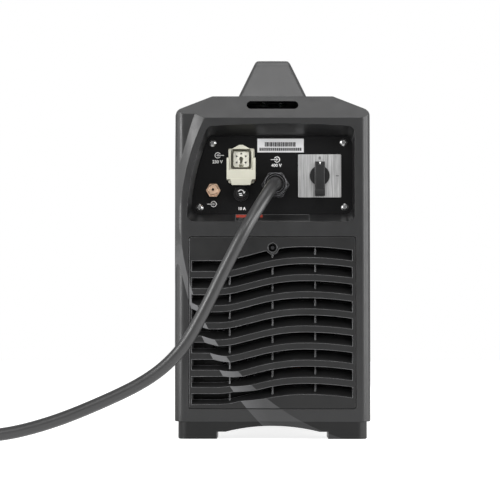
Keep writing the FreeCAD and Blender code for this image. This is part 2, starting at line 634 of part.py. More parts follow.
def socket_lever():
    """The locking lever: two side arms on the housing's pins, joined by a plate below the opening."""
    inner = SOCKET_HALF_OUTER + FIT
    outer = inner + LEVER_THICKNESS
    low = SOCKET_Z - SOCKET_HEIGHT / 2 - 0.5
    front = depth(PLATE_FACE - SOCKET_REACH - LEVER_PLATE - 0.4)
    back = depth(LEVER_PIVOT_D + 5)
    arms = []
    for side in (-1, 1):
        x0, x1 = sorted((SOCKET_X + side * inner, SOCKET_X + side * outer))
        arm = box(x0, x1, front, back, low + 2, LEVER_PIVOT_Z + 4.5)
        nose = rod(3, (x0, front + 3, LEVER_PIVOT_Z + 1.5), X_AXIS, x1 - x0)
        corner = box(x0, x1, front, front + 3, LEVER_PIVOT_Z + 1.5, LEVER_PIVOT_Z + 4.5)
        arms.append(arm.cut(corner).fuse(nose))
    bridge_top = OPENING_Z - SOCKET_OPENING_HEIGHT / 2 - 1.0
    bridge = box(SOCKET_X - outer, SOCKET_X + outer, front, front + LEVER_PLATE, low + 2, bridge_top)
    lip_corners = [(SOCKET_X - 10.4, low - 4.4), (SOCKET_X + 10.4, low - 4.4), (SOCKET_X + 12.0, low + 2.5),
                   (SOCKET_X - 12.0, low + 2.5)]
    lip = slab(path(lip_corners, [1.2, 1.2, 0, 0]), front - 1.2, front + LEVER_PLATE)
    lever = fuse_all(*arms, bridge, lip)
    hole = rod(LEVER_PIN_RADIUS + RUNNING_FIT, (SOCKET_X - outer - 1, depth(LEVER_PIVOT_D), LEVER_PIVOT_Z), X_AXIS,
               2 * outer + 2)
    return lever.cut(hole).removeSplitter()


def hex_nut(across_flats, bore, x, z, d0, d1, flat_on_top=True):
    face = Part.Face(hexagon(across_flats, flat_on_top))
    body = place(face.extrude(V(0, d1 - d0, 0)), x, depth(d0), z)
    trim = rod(across_flats * 0.565, (x, depth(d0), z), Y_AXIS, d1 - d0)
    return body.common(trim).cut(rod(bore, (x, depth(d0 - 1), z), Y_AXIS, d1 - d0 + 2))


FUSE_FLANGE = 2.0
FUSE_NARROW_D = PLATE_FACE + 8.0
FUSE_START_D = PLATE_FACE + 4.0


def fuse_holder():
    """The panel fuse holder: barrel with a nut behind the plate, the cap with its stem, and the cartridge."""
    flange_d = PLATE_FACE - FUSE_FLANGE
    flange = rod(FUSE_FLANGE_RADIUS, (FUSE_X, depth(flange_d), FUSE_Z), Y_AXIS, FUSE_FLANGE)
    barrel = rod(FUSE_CAP_RADIUS, (FUSE_X, depth(PLATE_FACE), FUSE_Z), Y_AXIS, FUSE_BODY_LENGTH)
    stem_bore = rod(FUSE_BORE_RADIUS, (FUSE_X, depth(flange_d - 1), FUSE_Z), Y_AXIS, FUSE_NARROW_D - flange_d + 1)
    length = FUSE_START_D + CARTRIDGE_LENGTH - FUSE_NARROW_D + FIT
    narrow = rod(CARTRIDGE_RADIUS + RUNNING_FIT, (FUSE_X, depth(FUSE_NARROW_D - 1), FUSE_Z), Y_AXIS, length + 1)
    tabs = [box(FUSE_X - 2, FUSE_X + 2, depth(PLATE_FACE + FUSE_BODY_LENGTH), depth(PLATE_FACE + FUSE_BODY_LENGTH + 7),
                FUSE_Z + z - 0.4, FUSE_Z + z + 0.4) for z in (-3, 3)]
    nut = hex_nut(17, FUSE_CAP_RADIUS - 1, FUSE_X, FUSE_Z, PLATE_BACK, PLATE_BACK + 3)
    save("fuse_holder_body", fuse_all(flange, barrel, nut, *tabs).cut(stem_bore).cut(narrow).removeSplitter())
    cap_back = flange_d - RUNNING_FIT
    cap_front = cap_back - 8
    cap = rod(FUSE_CAP_RADIUS, (FUSE_X, depth(cap_front + 1.2), FUSE_Z), Y_AXIS, cap_back - cap_front - 1.2)
    rim = cone(FUSE_CAP_RADIUS - 1.2, FUSE_CAP_RADIUS, (FUSE_X, depth(cap_front), FUSE_Z), Y_AXIS, 1.2)
    stem_end = FUSE_NARROW_D - FIT
    stem = rod(FUSE_BORE_RADIUS - RUNNING_FIT, (FUSE_X, depth(cap_back), FUSE_Z), Y_AXIS, stem_end - cap_back)
    cup = rod(CARTRIDGE_RADIUS + RUNNING_FIT, (FUSE_X, depth(FUSE_START_D - 0.1), FUSE_Z), Y_AXIS, stem_end)
    slot = box(FUSE_X - 4.5, FUSE_X + 4.5, depth(cap_front - 1), depth(cap_front + 1.4), FUSE_Z - 0.7, FUSE_Z + 0.7)
    slot.rotate(V(FUSE_X, 0, FUSE_Z), Y_AXIS, 45)
    save("fuse_cap", fuse_all(cap, rim, stem).cut(cup).cut(slot).removeSplitter())
    save("fuse_cartridge", rod(CARTRIDGE_RADIUS, (FUSE_X, depth(FUSE_START_D), FUSE_Z), Y_AXIS, CARTRIDGE_LENGTH))


def gas_inlet():
    """The brass gas inlet with its locknut behind the plate and a hose barb inside."""
    x, z = INLET_X, INLET_Z
    hex_d = PLATE_FACE - 8
    tip_d = PLATE_FACE - INLET_REACH
    flange = hex_nut(INLET_HEX, INLET_BORE_RADIUS, x, z, hex_d, PLATE_FACE)
    nipple = rod(INLET_NIPPLE_RADIUS, (x, depth(tip_d + 1), z), Y_AXIS, hex_d - tip_d - 1)
    tip = cone(INLET_NIPPLE_RADIUS - 1, INLET_NIPPLE_RADIUS, (x, depth(tip_d), z), Y_AXIS, 1)
    groove = tube(INLET_NIPPLE_RADIUS + 1, INLET_NIPPLE_RADIUS - 0.7, (x, depth(tip_d + 4), z), Y_AXIS, 1.2)
    thread = rod(INLET_THREAD_RADIUS, (x, depth(PLATE_FACE), z), Y_AXIS, 14)
    barb = cone(4.2, 3.2, (x, depth(PLATE_FACE + 14), z), Y_AXIS, 10)
    bore = rod(INLET_BORE_RADIUS, (x, depth(tip_d - 1), z), Y_AXIS, 60)
    locknut = hex_nut(INLET_HEX, INLET_THREAD_RADIUS - 1, x, z, PLATE_BACK, PLATE_BACK + 4)
    save("gas_inlet", fuse_all(flange, nipple, tip, thread, barb, locknut).cut(groove).cut(bore).removeSplitter())


def cord_gland():
    """The mains cable's gland: hex body through the plate, domed nut, rubber seal and locknut."""
    x, z = GLAND_X, GLAND_Z
    seal_d = GLAND_NUT_SEAT - 8
    body = hex_nut(GLAND_HEX, CORD_RADIUS - 1.2, x, z, GLAND_NUT_SEAT, PLATE_FACE)
    thread = tube(GLAND_THREAD_RADIUS, CORD_RADIUS - 1.2, (x, depth(PLATE_FACE), z), Y_AXIS, 14)
    neck = tube(GLAND_THREAD_RADIUS, CORD_RADIUS - 1.2, (x, depth(seal_d), z), Y_AXIS, GLAND_NUT_SEAT - seal_d)
    locknut = hex_nut(GLAND_HEX, GLAND_THREAD_RADIUS - 1, x, z, PLATE_BACK, PLATE_BACK + 5)
    seal = cone(GLAND_NUT_RADIUS - 2.5, GLAND_THREAD_RADIUS - 0.1, (x, depth(GLAND_FACE + 1), z), Y_AXIS,
                seal_d - GLAND_FACE - 1)
    seal = seal.cut(rod(CORD_RADIUS + 0.1, (x, depth(GLAND_FACE), z), Y_AXIS, 20))
    save("gland_body", fuse_all(body, thread, neck, locknut, seal).removeSplitter())
    hex_end = seal_d + 1
    nut_hex = hex_nut(GLAND_HEX - 2, 1, x, z, hex_end, GLAND_NUT_SEAT)
    dome = cone(GLAND_NUT_RADIUS, GLAND_HEX / 2 - 1.2, (x, depth(GLAND_FACE), z), Y_AXIS, hex_end - GLAND_FACE)
    thread_bore = rod(GLAND_THREAD_RADIUS + 0.05, (x, depth(seal_d), z), Y_AXIS, 20)
    seal_bore = cone(GLAND_NUT_RADIUS - 2.4, GLAND_THREAD_RADIUS + 0.05, (x, depth(GLAND_FACE), z), Y_AXIS, seal_d - GLAND_FACE)
    mouth = rod(GLAND_NUT_RADIUS - 2.4, (x, depth(GLAND_FACE - 1), z), Y_AXIS, 1.5)
    save("gland_nut", fuse_all(nut_hex, dome).cut(thread_bore).cut(seal_bore).cut(mouth).removeSplitter())


CORD_START_D = GLAND_NUT_SEAT - 8


def main_switch():
    """The rotary main switch: square faceplate, knob with its shaft, and the switch block behind the plate."""
    x, z = SWITCH_X, SWITCH_Z
    half = SWITCH_PLATE / 2
    face_d = PLATE_FACE - SWITCH_PLATE_THICKNESS
    plate = rounded_slab(x - half, x + half, z - half, z + half, 1.2, depth(face_d), depth(PLATE_FACE))
    save("switch_faceplate", plate.cut(rod(KNOB_SHAFT + 4, (x, depth(face_d - 1), z), Y_AXIS, 4)))
    knob_back = face_d - FIT
    disc = rod(KNOB_DISC_RADIUS, (x, depth(knob_back - 4), z), Y_AXIS, 4)
    half_grip = KNOB_GRIP_WIDTH / 2
    front = knob_back - KNOB_HEIGHT
    profile = [V(x - half_grip, depth(knob_back - 1), z + KNOB_GRIP_UP), V(x - half_grip, depth(front), z + KNOB_GRIP_UP),
               V(x - half_grip, depth(front), z - KNOB_GRIP_DOWN + 6), V(x - half_grip, depth(front + 5), z - KNOB_GRIP_DOWN),
               V(x - half_grip, depth(knob_back - 1), z - KNOB_GRIP_DOWN)]
    grip = Part.Face(Part.makePolygon(profile + profile[:1])).extrude(V(KNOB_GRIP_WIDTH, 0, 0))
    grip = grip.makeFillet(1.2, [e for e in grip.Edges if e.BoundBox.YMax < depth(front + 0.1)])
    shaft = rod(KNOB_SHAFT, (x, depth(knob_back - 1), z), Y_AXIS, PLATE_BACK + 12 - knob_back)
    save("switch_knob", fuse_all(disc, grip, shaft).removeSplitter())
    block_half = SWITCH_BODY / 2
    body = rounded_slab(x - block_half, x + block_half, z - block_half, z + block_half, 2, depth(PLATE_BACK),
                        depth(PLATE_BACK + SWITCH_BODY_DEPTH))
    grooves = [box(x - block_half - 1, x + block_half + 1, depth(PLATE_BACK + d), depth(PLATE_BACK + d + 1.5),
                   z + side * block_half - 1, z + side * block_half + 1) for d in (12, 23, 34) for side in (-1, 1)]
    bore = rod(KNOB_SHAFT + RUNNING_FIT, (x, depth(PLATE_BACK - 1), z), Y_AXIS, 13)
    save("switch_body", body.cut(Part.makeCompound(grooves + [bore])))

SHEET_OUTSIDE = WALL + FIT  # the sheet cover slides inside the bezels' walls
SHEET_INSIDE = SHEET_OUTSIDE + SHEET
SHEET_OVERLAP = 16.0
ARCH_TOP = 14.2
ARCH_HALF = 51.6
FOOT_HALF_GAP = 61.2
NOTCH_HEIGHT = 7.8
SKIRT_DEPTH = 66.0
TRAY_TOP = SKIRT_HEIGHT + WALL + FIT + SHEET
FLANGE = 26.0
SKIRT_SCREWS = ((-82.0, 40.0), (82.0, 40.0))


def foot_skirt():
    """The moulded skirt below a bezel: two feet joined by an arch, its face flush with the bezel's."""
    block = envelope(SKIRT_WIDTH / 2, 0, 0, SKIRT_DEPTH)
    block = block.common(box(-WIDTH, WIDTH, depth(-1), depth(SKIRT_DEPTH), 0, SKIRT_HEIGHT))
    y = depth(-2)
    left = V(-ARCH_HALF, y, NOTCH_HEIGHT)
    right = V(ARCH_HALF, y, NOTCH_HEIGHT)
    arch = Part.Arc(left, V(0, y, ARCH_TOP), right).toShape()
    corners = [right, V(FOOT_HALF_GAP, y, NOTCH_HEIGHT), V(FOOT_HALF_GAP, y, -2), V(-FOOT_HALF_GAP, y, -2),
               V(-FOOT_HALF_GAP, y, NOTCH_HEIGHT), left]
    lines = [Part.LineSegment(a, b).toShape() for a, b in zip(corners, corners[1:])]
    gap = Part.Face(Part.Wire([arch] + lines)).extrude(V(0, SKIRT_DEPTH + 4, 0))
    skirt = block.cut(gap)
    pockets = []
    for x0, x1 in ((-SKIRT_WIDTH / 2 + 5, -FOOT_HALF_GAP - 5), (FOOT_HALF_GAP + 5, SKIRT_WIDTH / 2 - 5)):
        pockets.append(box(x0, x1, depth(SIDE_RADIUS + STEP_DEPTH + 4), depth(SKIRT_DEPTH - 5), 4, SKIRT_HEIGHT + 1))
    holes = []
    for x, d in SKIRT_SCREWS:
        pockets.append(rod(4.6, (x, depth(d), -1), Z_AXIS, 4))
        holes.append(rod(PANEL_BOLT_RADIUS + FIT / 2, (x, depth(d), -1), Z_AXIS, 6))
    return skirt.cut(Part.makeCompound(pockets)).cut(Part.makeCompound(holes))


def skirt_screw_holes():
    radius = PANEL_BOLT_RADIUS + FIT / 2
    return [rod(radius, (x, depth(d), SKIRT_HEIGHT - 1), Z_AXIS, 6) for x, d in SKIRT_SCREWS]


def case_cover():
    """The sheet-metal cover: sides, shoulders and top in one folded sheet, its ends inside the bezels."""
    end = LENGTH / 2 - BEZEL_DEPTH + SHEET_OVERLAP
    outside = slab(outline(BEZEL_HALF, SKIRT_HEIGHT, SHEET_OUTSIDE), -end, end)
    inside = slab(outline(BEZEL_HALF, SKIRT_HEIGHT - 30, SHEET_INSIDE), -end - 1, end + 1)
    floor = box(-WIDTH, WIDTH, -end - 1, end + 1, 0, TRAY_TOP + 0.5)
    sheet = outside.cut(inside).cut(floor)
    holes = [rod(BOLT_HEAD_RADIUS + 1, (x, sign * depth(FOOT_Y1), ROOF_HEIGHT - 20), Z_AXIS, 30)
             for x in (-HANDLE_TOP_WIDTH / 4, HANDLE_TOP_WIDTH / 4) for sign in (-1, 1)]
    for y in COVER_SCREW_Y:
        start = (-WIDTH, y, COVER_SCREW_Z)
        holes.append(rod(COVER_SCREW_RADIUS + FIT / 2, start, X_AXIS, 2 * WIDTH))
    save("case_cover", sheet.cut(Part.makeCompound(holes)))
    screws = []
    seat = BEZEL_HALF - SHEET_OUTSIDE
    for y in COVER_SCREW_Y:
        screws.append(pan_screw(seat, y, COVER_SCREW_Z, 4.2, COVER_SCREW_RADIUS, 7, 2.4, X_AXIS * -1))
        screws.append(pan_screw(-seat, y, COVER_SCREW_Z, 4.2, COVER_SCREW_RADIUS, 7, 2.4, X_AXIS))
    save("cover_screws", *screws)


COVER_SCREW_Y = (-150.0, 0.0, 150.0)
COVER_SCREW_Z = 40.0
COVER_SCREW_RADIUS = 2.0


def base_tray():
    """The folded steel tray that carries the inside, lying on the bezels' floors, with side flanges."""
    half = BEZEL_HALF - SHEET_INSIDE - 0.1
    end = LENGTH / 2 - 20
    low = TRAY_TOP - SHEET
    floor = box(-half, half, -end, end, low, TRAY_TOP)
    sides = []
    for side in (-1, 1):
        x0, x1 = sorted((side * half, side * (half - SHEET)))
        sides.append(box(x0, x1, -end + 30, end - 30, low, low + FLANGE))
    tray = fuse_all(floor, *sides)
    holes = [rod(COVER_SCREW_RADIUS + 0.05, (-WIDTH, y, COVER_SCREW_Z), X_AXIS, 2 * WIDTH) for y in COVER_SCREW_Y]
    bolt = PANEL_BOLT_RADIUS + 0.05
    for x, d in SKIRT_SCREWS:
        for sign in (-1, 1):
            holes.append(rod(bolt, (x, sign * depth(d), low - 1), Z_AXIS, 4))
    save("base_tray", tray.cut(Part.makeCompound(holes)).removeSplitter())
    screws = []
    for x, d in SKIRT_SCREWS:
        for sign in (-1, 1):
            screws.append(pan_screw(x, sign * depth(d), 3, 4.2, PANEL_BOLT_RADIUS, TRAY_TOP - 3 + 4, 2.4, Z_AXIS))
    save("skirt_screws", *screws)


def handle_outline(y0, z0, reach, top, middle_top, radius):
    """Half-symmetric side view of the handle or of its opening: feet on the roof, leaning ends, bowed top."""
    left = V(0, -y0, z0)
    right = V(0, y0, z0)
    left_top = V(0, -reach, top)
    right_top = V(0, reach, top)
    crown = Part.Arc(right_top, V(0, 0, middle_top), left_top).toShape()
    lines = [Part.LineSegment(left_top, left).toShape(), Part.LineSegment(left, right).toShape(),
             Part.LineSegment(right, right_top).toShape()]
    face = Part.Face(Part.Wire([crown] + lines[:1] + lines[1:2] + lines[2:]))
    face.translate(V(-HANDLE_FOOT_WIDTH, 0, 0))
    solid = face.extrude(V(2 * HANDLE_FOOT_WIDTH, 0, 0))
    corners = [e for e in solid.Edges if abs(e.Vertexes[0].X - e.Vertexes[-1].X) > 1 and e.BoundBox.ZMin > z0 + 1]
    return solid.makeFillet(radius, corners)


def handle_half(z):
    """Half the width of the handle at a height: wide at the roof, narrow at the top."""
    taper = (HANDLE_FOOT_WIDTH - HANDLE_TOP_WIDTH) / 2 / (HANDLE_END_HEIGHT - ROOF_HEIGHT)
    return HANDLE_FOOT_WIDTH / 2 - taper * (z - ROOF_HEIGHT)


def handle_section(grow):
    low = ROOF_HEIGHT
    high = HANDLE_HEIGHT + 1
    wide = handle_half(low) + grow
    narrow = handle_half(high) + grow
    corners = [(-wide, low), (wide, low), (narrow, high), (-narrow, high)]
    return slab(path(corners, [0, 0, 0, 0]), -LENGTH / 2, LENGTH / 2)


def rounded_handle(solid):
    """Round the edges where the handle's flanks meet its bowed top and leaning ends."""
    edges = []
    for edge in solid.Edges:
        middle = edge.valueAt((edge.FirstParameter + edge.LastParameter) / 2)
        on_flank = abs(abs(middle.x) - handle_half(middle.z)) < 0.01
        if on_flank and middle.z > ROOF_HEIGHT + 0.1:
            edges.append(edge)
    return solid.makeFillet(HANDLE_EDGE, edges)


GRIP_STRIP = 4.0  # thickness of the soft strip under the grip


def carrying_handle():
    """The carrying handle from one bezel's roof to the other's, its soft grip strip and its four bolts."""
    foot = LENGTH / 2 - HANDLE_SETBACK
    outer = handle_outline(foot, ROOF_HEIGHT, foot - HANDLE_LEAN, HANDLE_END_HEIGHT, HANDLE_HEIGHT, 12)
    inner_foot = foot - HANDLE_LEG
    grip_low = HANDLE_END_HEIGHT - HANDLE_GRIP
    opening = handle_outline(inner_foot, ROOF_HEIGHT - 20, inner_foot - 6, grip_low, HANDLE_HEIGHT - HANDLE_GRIP, 14)
    body = rounded_handle(outer.common(handle_section(0))).cut(opening)
    strip_end = inner_foot - 30
    window = box(-HANDLE_FOOT_WIDTH, HANDLE_FOOT_WIDTH, -strip_end, strip_end, ROOF_HEIGHT, HANDLE_HEIGHT)
    raised = place(opening, z=GRIP_STRIP)
    strip_zone = raised.cut(opening).common(window)
    strip = strip_zone.common(handle_section(-3))
    body = body.cut(strip)
    holes = []
    screws = []
    for x in (-HANDLE_TOP_WIDTH / 4, HANDLE_TOP_WIDTH / 4):
        for d in (FOOT_Y0, FOOT_Y1):
            for sign in (-1, 1):
                y = sign * depth(d)
                holes.append(rod(HANDLE_BOLT_RADIUS + 0.05, (x, y, ROOF_HEIGHT - 1), Z_AXIS, 20))
                screws.append(pan_screw(x, y, ROOF_HEIGHT - WALL, BOLT_HEAD_RADIUS, HANDLE_BOLT_RADIUS, WALL + 16, 3.4, Z_AXIS))
    save("carrying_handle", body.cut(Part.makeCompound(holes)).removeSplitter())
    save("handle_grip_strip", strip)
    save("handle_bolts", *screws)


SHEET_FOOT = 14.0
VENT_SPACING = 54.0
VENT_HALF = 22.0


def inner_panel(sign, holes):
    """An upright inner sheet on the tray, with a foot and a top flange for the shelf."""
    y0, y1 = sorted((sign * depth(INNER_PANEL_DEPTH), sign * depth(INNER_PANEL_DEPTH + SHEET)))
    f0, f1 = sorted((sign * depth(INNER_PANEL_DEPTH), sign * depth(INNER_PANEL_DEPTH + SHEET_FOOT)))
    half = INNER_HALF_WIDTH
    upright = box(-half, half, y0, y1, TRAY_TOP, SHELF_Z)
    foot = box(-half, half, f0, f1, TRAY_TOP, TRAY_TOP + SHEET)
    top = box(-half, half, f0, f1, SHELF_Z - SHEET, SHELF_Z)
    return fuse_all(upright, foot, top).cut(holes).removeSplitter()


def inner_sheets():
    """Fan panel, front inner panel and the shelf that ties them together."""
    air = rod(FAN_BORE_RADIUS, (0, depth(INNER_PANEL_DEPTH - 1), FAN_Z), Y_AXIS, 10)
    save("fan_panel", inner_panel(1, air))
    y = -depth(INNER_PANEL_DEPTH + SHEET + 1)
    columns = [(x - VENT_HALF, x + VENT_HALF) for x in (-VENT_SPACING, 0, VENT_SPACING)]
    vents = [box(x0, x1, y, y + 6, z, z + 8) for z in range(40, 140, 16) for x0, x1 in columns]
    save("front_inner_panel", inner_panel(-1, Part.makeCompound(vents)))
    end = LENGTH / 2 - INNER_PANEL_DEPTH
    shelf = box(-INNER_HALF_WIDTH, INNER_HALF_WIDTH, -end, end, SHELF_Z, SHELF_Z + SHEET)
    low, high = SHELF_Z - 1, SHELF_Z + 4
    slots = [box(x - 4, x + 4, y - 20, y + 20, low, high) for x in (-80, 80) for y in (-50, 0, 50)]
    save("shelf", shelf.cut(Part.makeCompound(slots)))


FAN_FRONT_D = INNER_PANEL_DEPTH - FAN_THICKNESS
HUB_LENGTH = 24.0


def fan():
    """Axial fan on the fan panel: square frame with a motor cup on four arms, and the bladed rotor."""
    half = FAN_FRAME / 2
    front = depth(FAN_FRONT_D)
    frame = rounded_slab(-half, half, FAN_Z - half, FAN_Z + half, 8, front, depth(INNER_PANEL_DEPTH))
    waist = rounded_slab(-half - 1, half + 1, FAN_Z - half - 1, FAN_Z + half + 1, 8, front + 5,
                         depth(INNER_PANEL_DEPTH - 5))
    waist = waist.cut(rod(FAN_BORE_RADIUS + 3, (0, front, FAN_Z), Y_AXIS, FAN_THICKNESS))
    frame = frame.cut(waist).cut(rod(FAN_BORE_RADIUS, (0, front - 1, FAN_Z), Y_AXIS, FAN_THICKNESS + 2))
    cup_d = INNER_PANEL_DEPTH - 8
    cup = rod(FAN_HUB_RADIUS, (0, depth(cup_d), FAN_Z), Y_AXIS, 8)
    arms = []
    for i in range(4):
        arm = box(FAN_HUB_RADIUS - 1, FAN_BORE_RADIUS + 1, depth(cup_d + 3), depth(INNER_PANEL_DEPTH), FAN_Z - 3, FAN_Z + 3)
        arm.rotate(V(0, 0, FAN_Z), Y_AXIS, 45 + 90 * i)
        arms.append(arm)
    corner = half - 8
    bolts = [rod(2.2, (x, front - 1, FAN_Z + z), Y_AXIS, FAN_THICKNESS + 2) for x in (-corner, corner)
             for z in (-corner, corner)]
    frame = fuse_all(frame, cup, *arms).cut(Part.makeCompound(bolts))
    frame = frame.cut(rod(FAN_SHAFT_RADIUS + RUNNING_FIT, (0, depth(cup_d - 1), FAN_Z), Y_AXIS, 7))
    save("fan_frame", frame.removeSplitter())
    hub_end = cup_d - 0.5
    hub = rod(FAN_HUB_RADIUS, (0, depth(hub_end - HUB_LENGTH), FAN_Z), Y_AXIS, HUB_LENGTH)
    shaft = rod(FAN_SHAFT_RADIUS, (0, depth(hub_end - 1), FAN_Z), Y_AXIS, 6.2)
    blades = []
    for i in range(FAN_BLADES):
        blade = fan_blade(hub_end)
        blade.rotate(V(0, 0, FAN_Z), Y_AXIS, 360 / FAN_BLADES * i)
        blades.append(blade)
    save("fan_rotor", fuse_all(hub, shaft, *blades).removeSplitter())


def fan_blade(hub_end):
    """One swept blade: three slanted sections from hub to tip, lofted."""
    tip = FAN_BORE_RADIUS - FAN_TIP_GAP
    sections = []
    for radius, pitch, chord, sweep in ((FAN_HUB_RADIUS - 2, 52, 21, 0), (48, 62, 27, 5), (tip, 68, 32, 10)):
        slant = math.radians(pitch)
        along = V(0, math.cos(slant), math.sin(slant)) * (chord / 2)
        normal = V(0, math.sin(slant), -math.cos(slant)) * 0.9
        middle = V(radius, depth(hub_end - HUB_LENGTH / 2), FAN_Z + sweep)
        corners = [middle - along - normal, middle + along - normal, middle + along + normal, middle - along + normal]
        sections.append(Part.makePolygon(corners + corners[:1]))
    blade = Part.makeLoft(sections, True, True)
    keep = rod(tip, (0, depth(hub_end - HUB_LENGTH), FAN_Z), Y_AXIS, HUB_LENGTH)
    return blade.common(keep)

FRONT_GRILLE_TOP = 139.0
FRONT_SLOT_EDGE = 100.0
FRONT_SLOT_ROWS = 4
FRONT_SCREW_X = (-70.0, 70.0)
FRONT_SCREW_Z = FRONT_GRILLE_TOP - 6.0
FRONT_SCREW_SEAT = 7.0
BAY_HALF = 84.0
BAY_BOTTOM = 152.0
BAY_TOP = 226.0
BAY_DEPTH = 20.0
BAY_CORNER = 8.0
TORCH_X = -44.0
SOCKETS_Z = 189.0
TORCH_FLANGE = 50.0
TORCH_RING_RADIUS = 21.0
TORCH_BORE_RADIUS = 15.0
WORK_X = 44.0
WORK_FLANGE_RADIUS = 24.0
WORK_RING_RADIUS = 18.0
WORK_BORE_RADIUS = 6.6
DISPLAY_X = -20.0
DISPLAY_Z = 310.0
DISPLAY_WIDTH = 66.0
DISPLAY_HEIGHT = 28.0
DIAL_X = 50.0
DIAL_Z = 292.0
DIAL_RADIUS = 15.0
DIAL_HEIGHT = 15.0
DIAL_FLUTES = 18
DIAL_SHAFT = 3.0
BUTTON_X = (-54.0, -24.0, 6.0)
BUTTON_Z = 270.0
BUTTON_RADIUS = 5.0
BUTTON_TRAVEL = 1.2
BOARD_D = PLATE_BACK + 9.0  # the control board behind the front plate
BOARD_LEFT = BUTTON_X[0] - 18.0
BOARD_RIGHT = DIAL_X + 20.0
BOARD_LOW = BUTTON_Z - 11.0
BOARD_HIGH = DISPLAY_Z + DISPLAY_HEIGHT / 2 + 2.0
BOARD = 1.6


def front_bezel():
    block, hollow, lugs, bolt_holes = recess_pocket()
    collar, opening = grille_pocket(GRILLE_BOTTOM, FRONT_GRILLE_TOP)
    bay_block = rounded_slab(-BAY_HALF - WALL, BAY_HALF + WALL, BAY_BOTTOM - WALL, BAY_TOP + WALL, BAY_CORNER + WALL,
                             depth(1), depth(BAY_DEPTH + WALL))
    bay = rounded_slab(-BAY_HALF, BAY_HALF, BAY_BOTTOM, BAY_TOP, BAY_CORNER, depth(-1), depth(BAY_DEPTH))
    shell = BEZEL_FORM.cut(BEZEL_HOLLOW)
    shell = fuse_all(shell, block.common(BEZEL_FORM), collar.common(BEZEL_FORM), bay_block.common(BEZEL_FORM))
    shell = shell.cut(Part.makeCompound([hollow, opening, bay]))
    floor_d = depth(BAY_DEPTH - 1)
    seats = [rod(TORCH_RING_RADIUS - 1 + FIT, (TORCH_X, floor_d, SOCKETS_Z), Y_AXIS, WALL + 2),
             rod(WORK_RING_RADIUS - 2 + FIT, (WORK_X, floor_d, SOCKETS_Z), Y_AXIS, WALL + 2)]
    ledge_d = depth(GRILLE_DEPTH)
    tabs = [box(x - 6, x + 6, ledge_d, ledge_d + LEDGE_THICKNESS, FRONT_SCREW_Z - 6, FRONT_GRILLE_TOP)
            for x in FRONT_SCREW_X]
    radius = PANEL_BOLT_RADIUS + FIT / 2
    tab_holes = [rod(radius, (x, ledge_d - 1, FRONT_SCREW_Z), Y_AXIS, LEDGE_THICKNESS + 2) for x in FRONT_SCREW_X]
    cutters = seats + bolt_holes + handle_bolt_holes() + skirt_screw_holes() + tab_holes + [strap_slot()]
    shell = shell.multiFuse(lugs + tabs).cut(Part.makeCompound(cutters))
    save("front_bezel", to_front(shell.removeSplitter()))


def front_grille():
    panel = louvred_panel(BEZEL_FORM, GRILLE_BOTTOM, FRONT_GRILLE_TOP, FRONT_SLOT_EDGE, FRONT_SLOT_ROWS,
                          lambda x: FRONT_SLOT_EDGE + WAVE_CREST + SLOT_HEIGHT)
    holes = []
    for x in FRONT_SCREW_X:
        holes.append(rod(PANEL_BOLT_RADIUS + FIT / 2, (x, depth(-1), FRONT_SCREW_Z), Y_AXIS, GRILLE_DEPTH + 2))
        holes.append(rod(4.6, (x, depth(-1), FRONT_SCREW_Z), Y_AXIS, FRONT_SCREW_SEAT + 1))
    save("front_grille", to_front(panel.cut(Part.makeCompound(holes)).removeSplitter()))


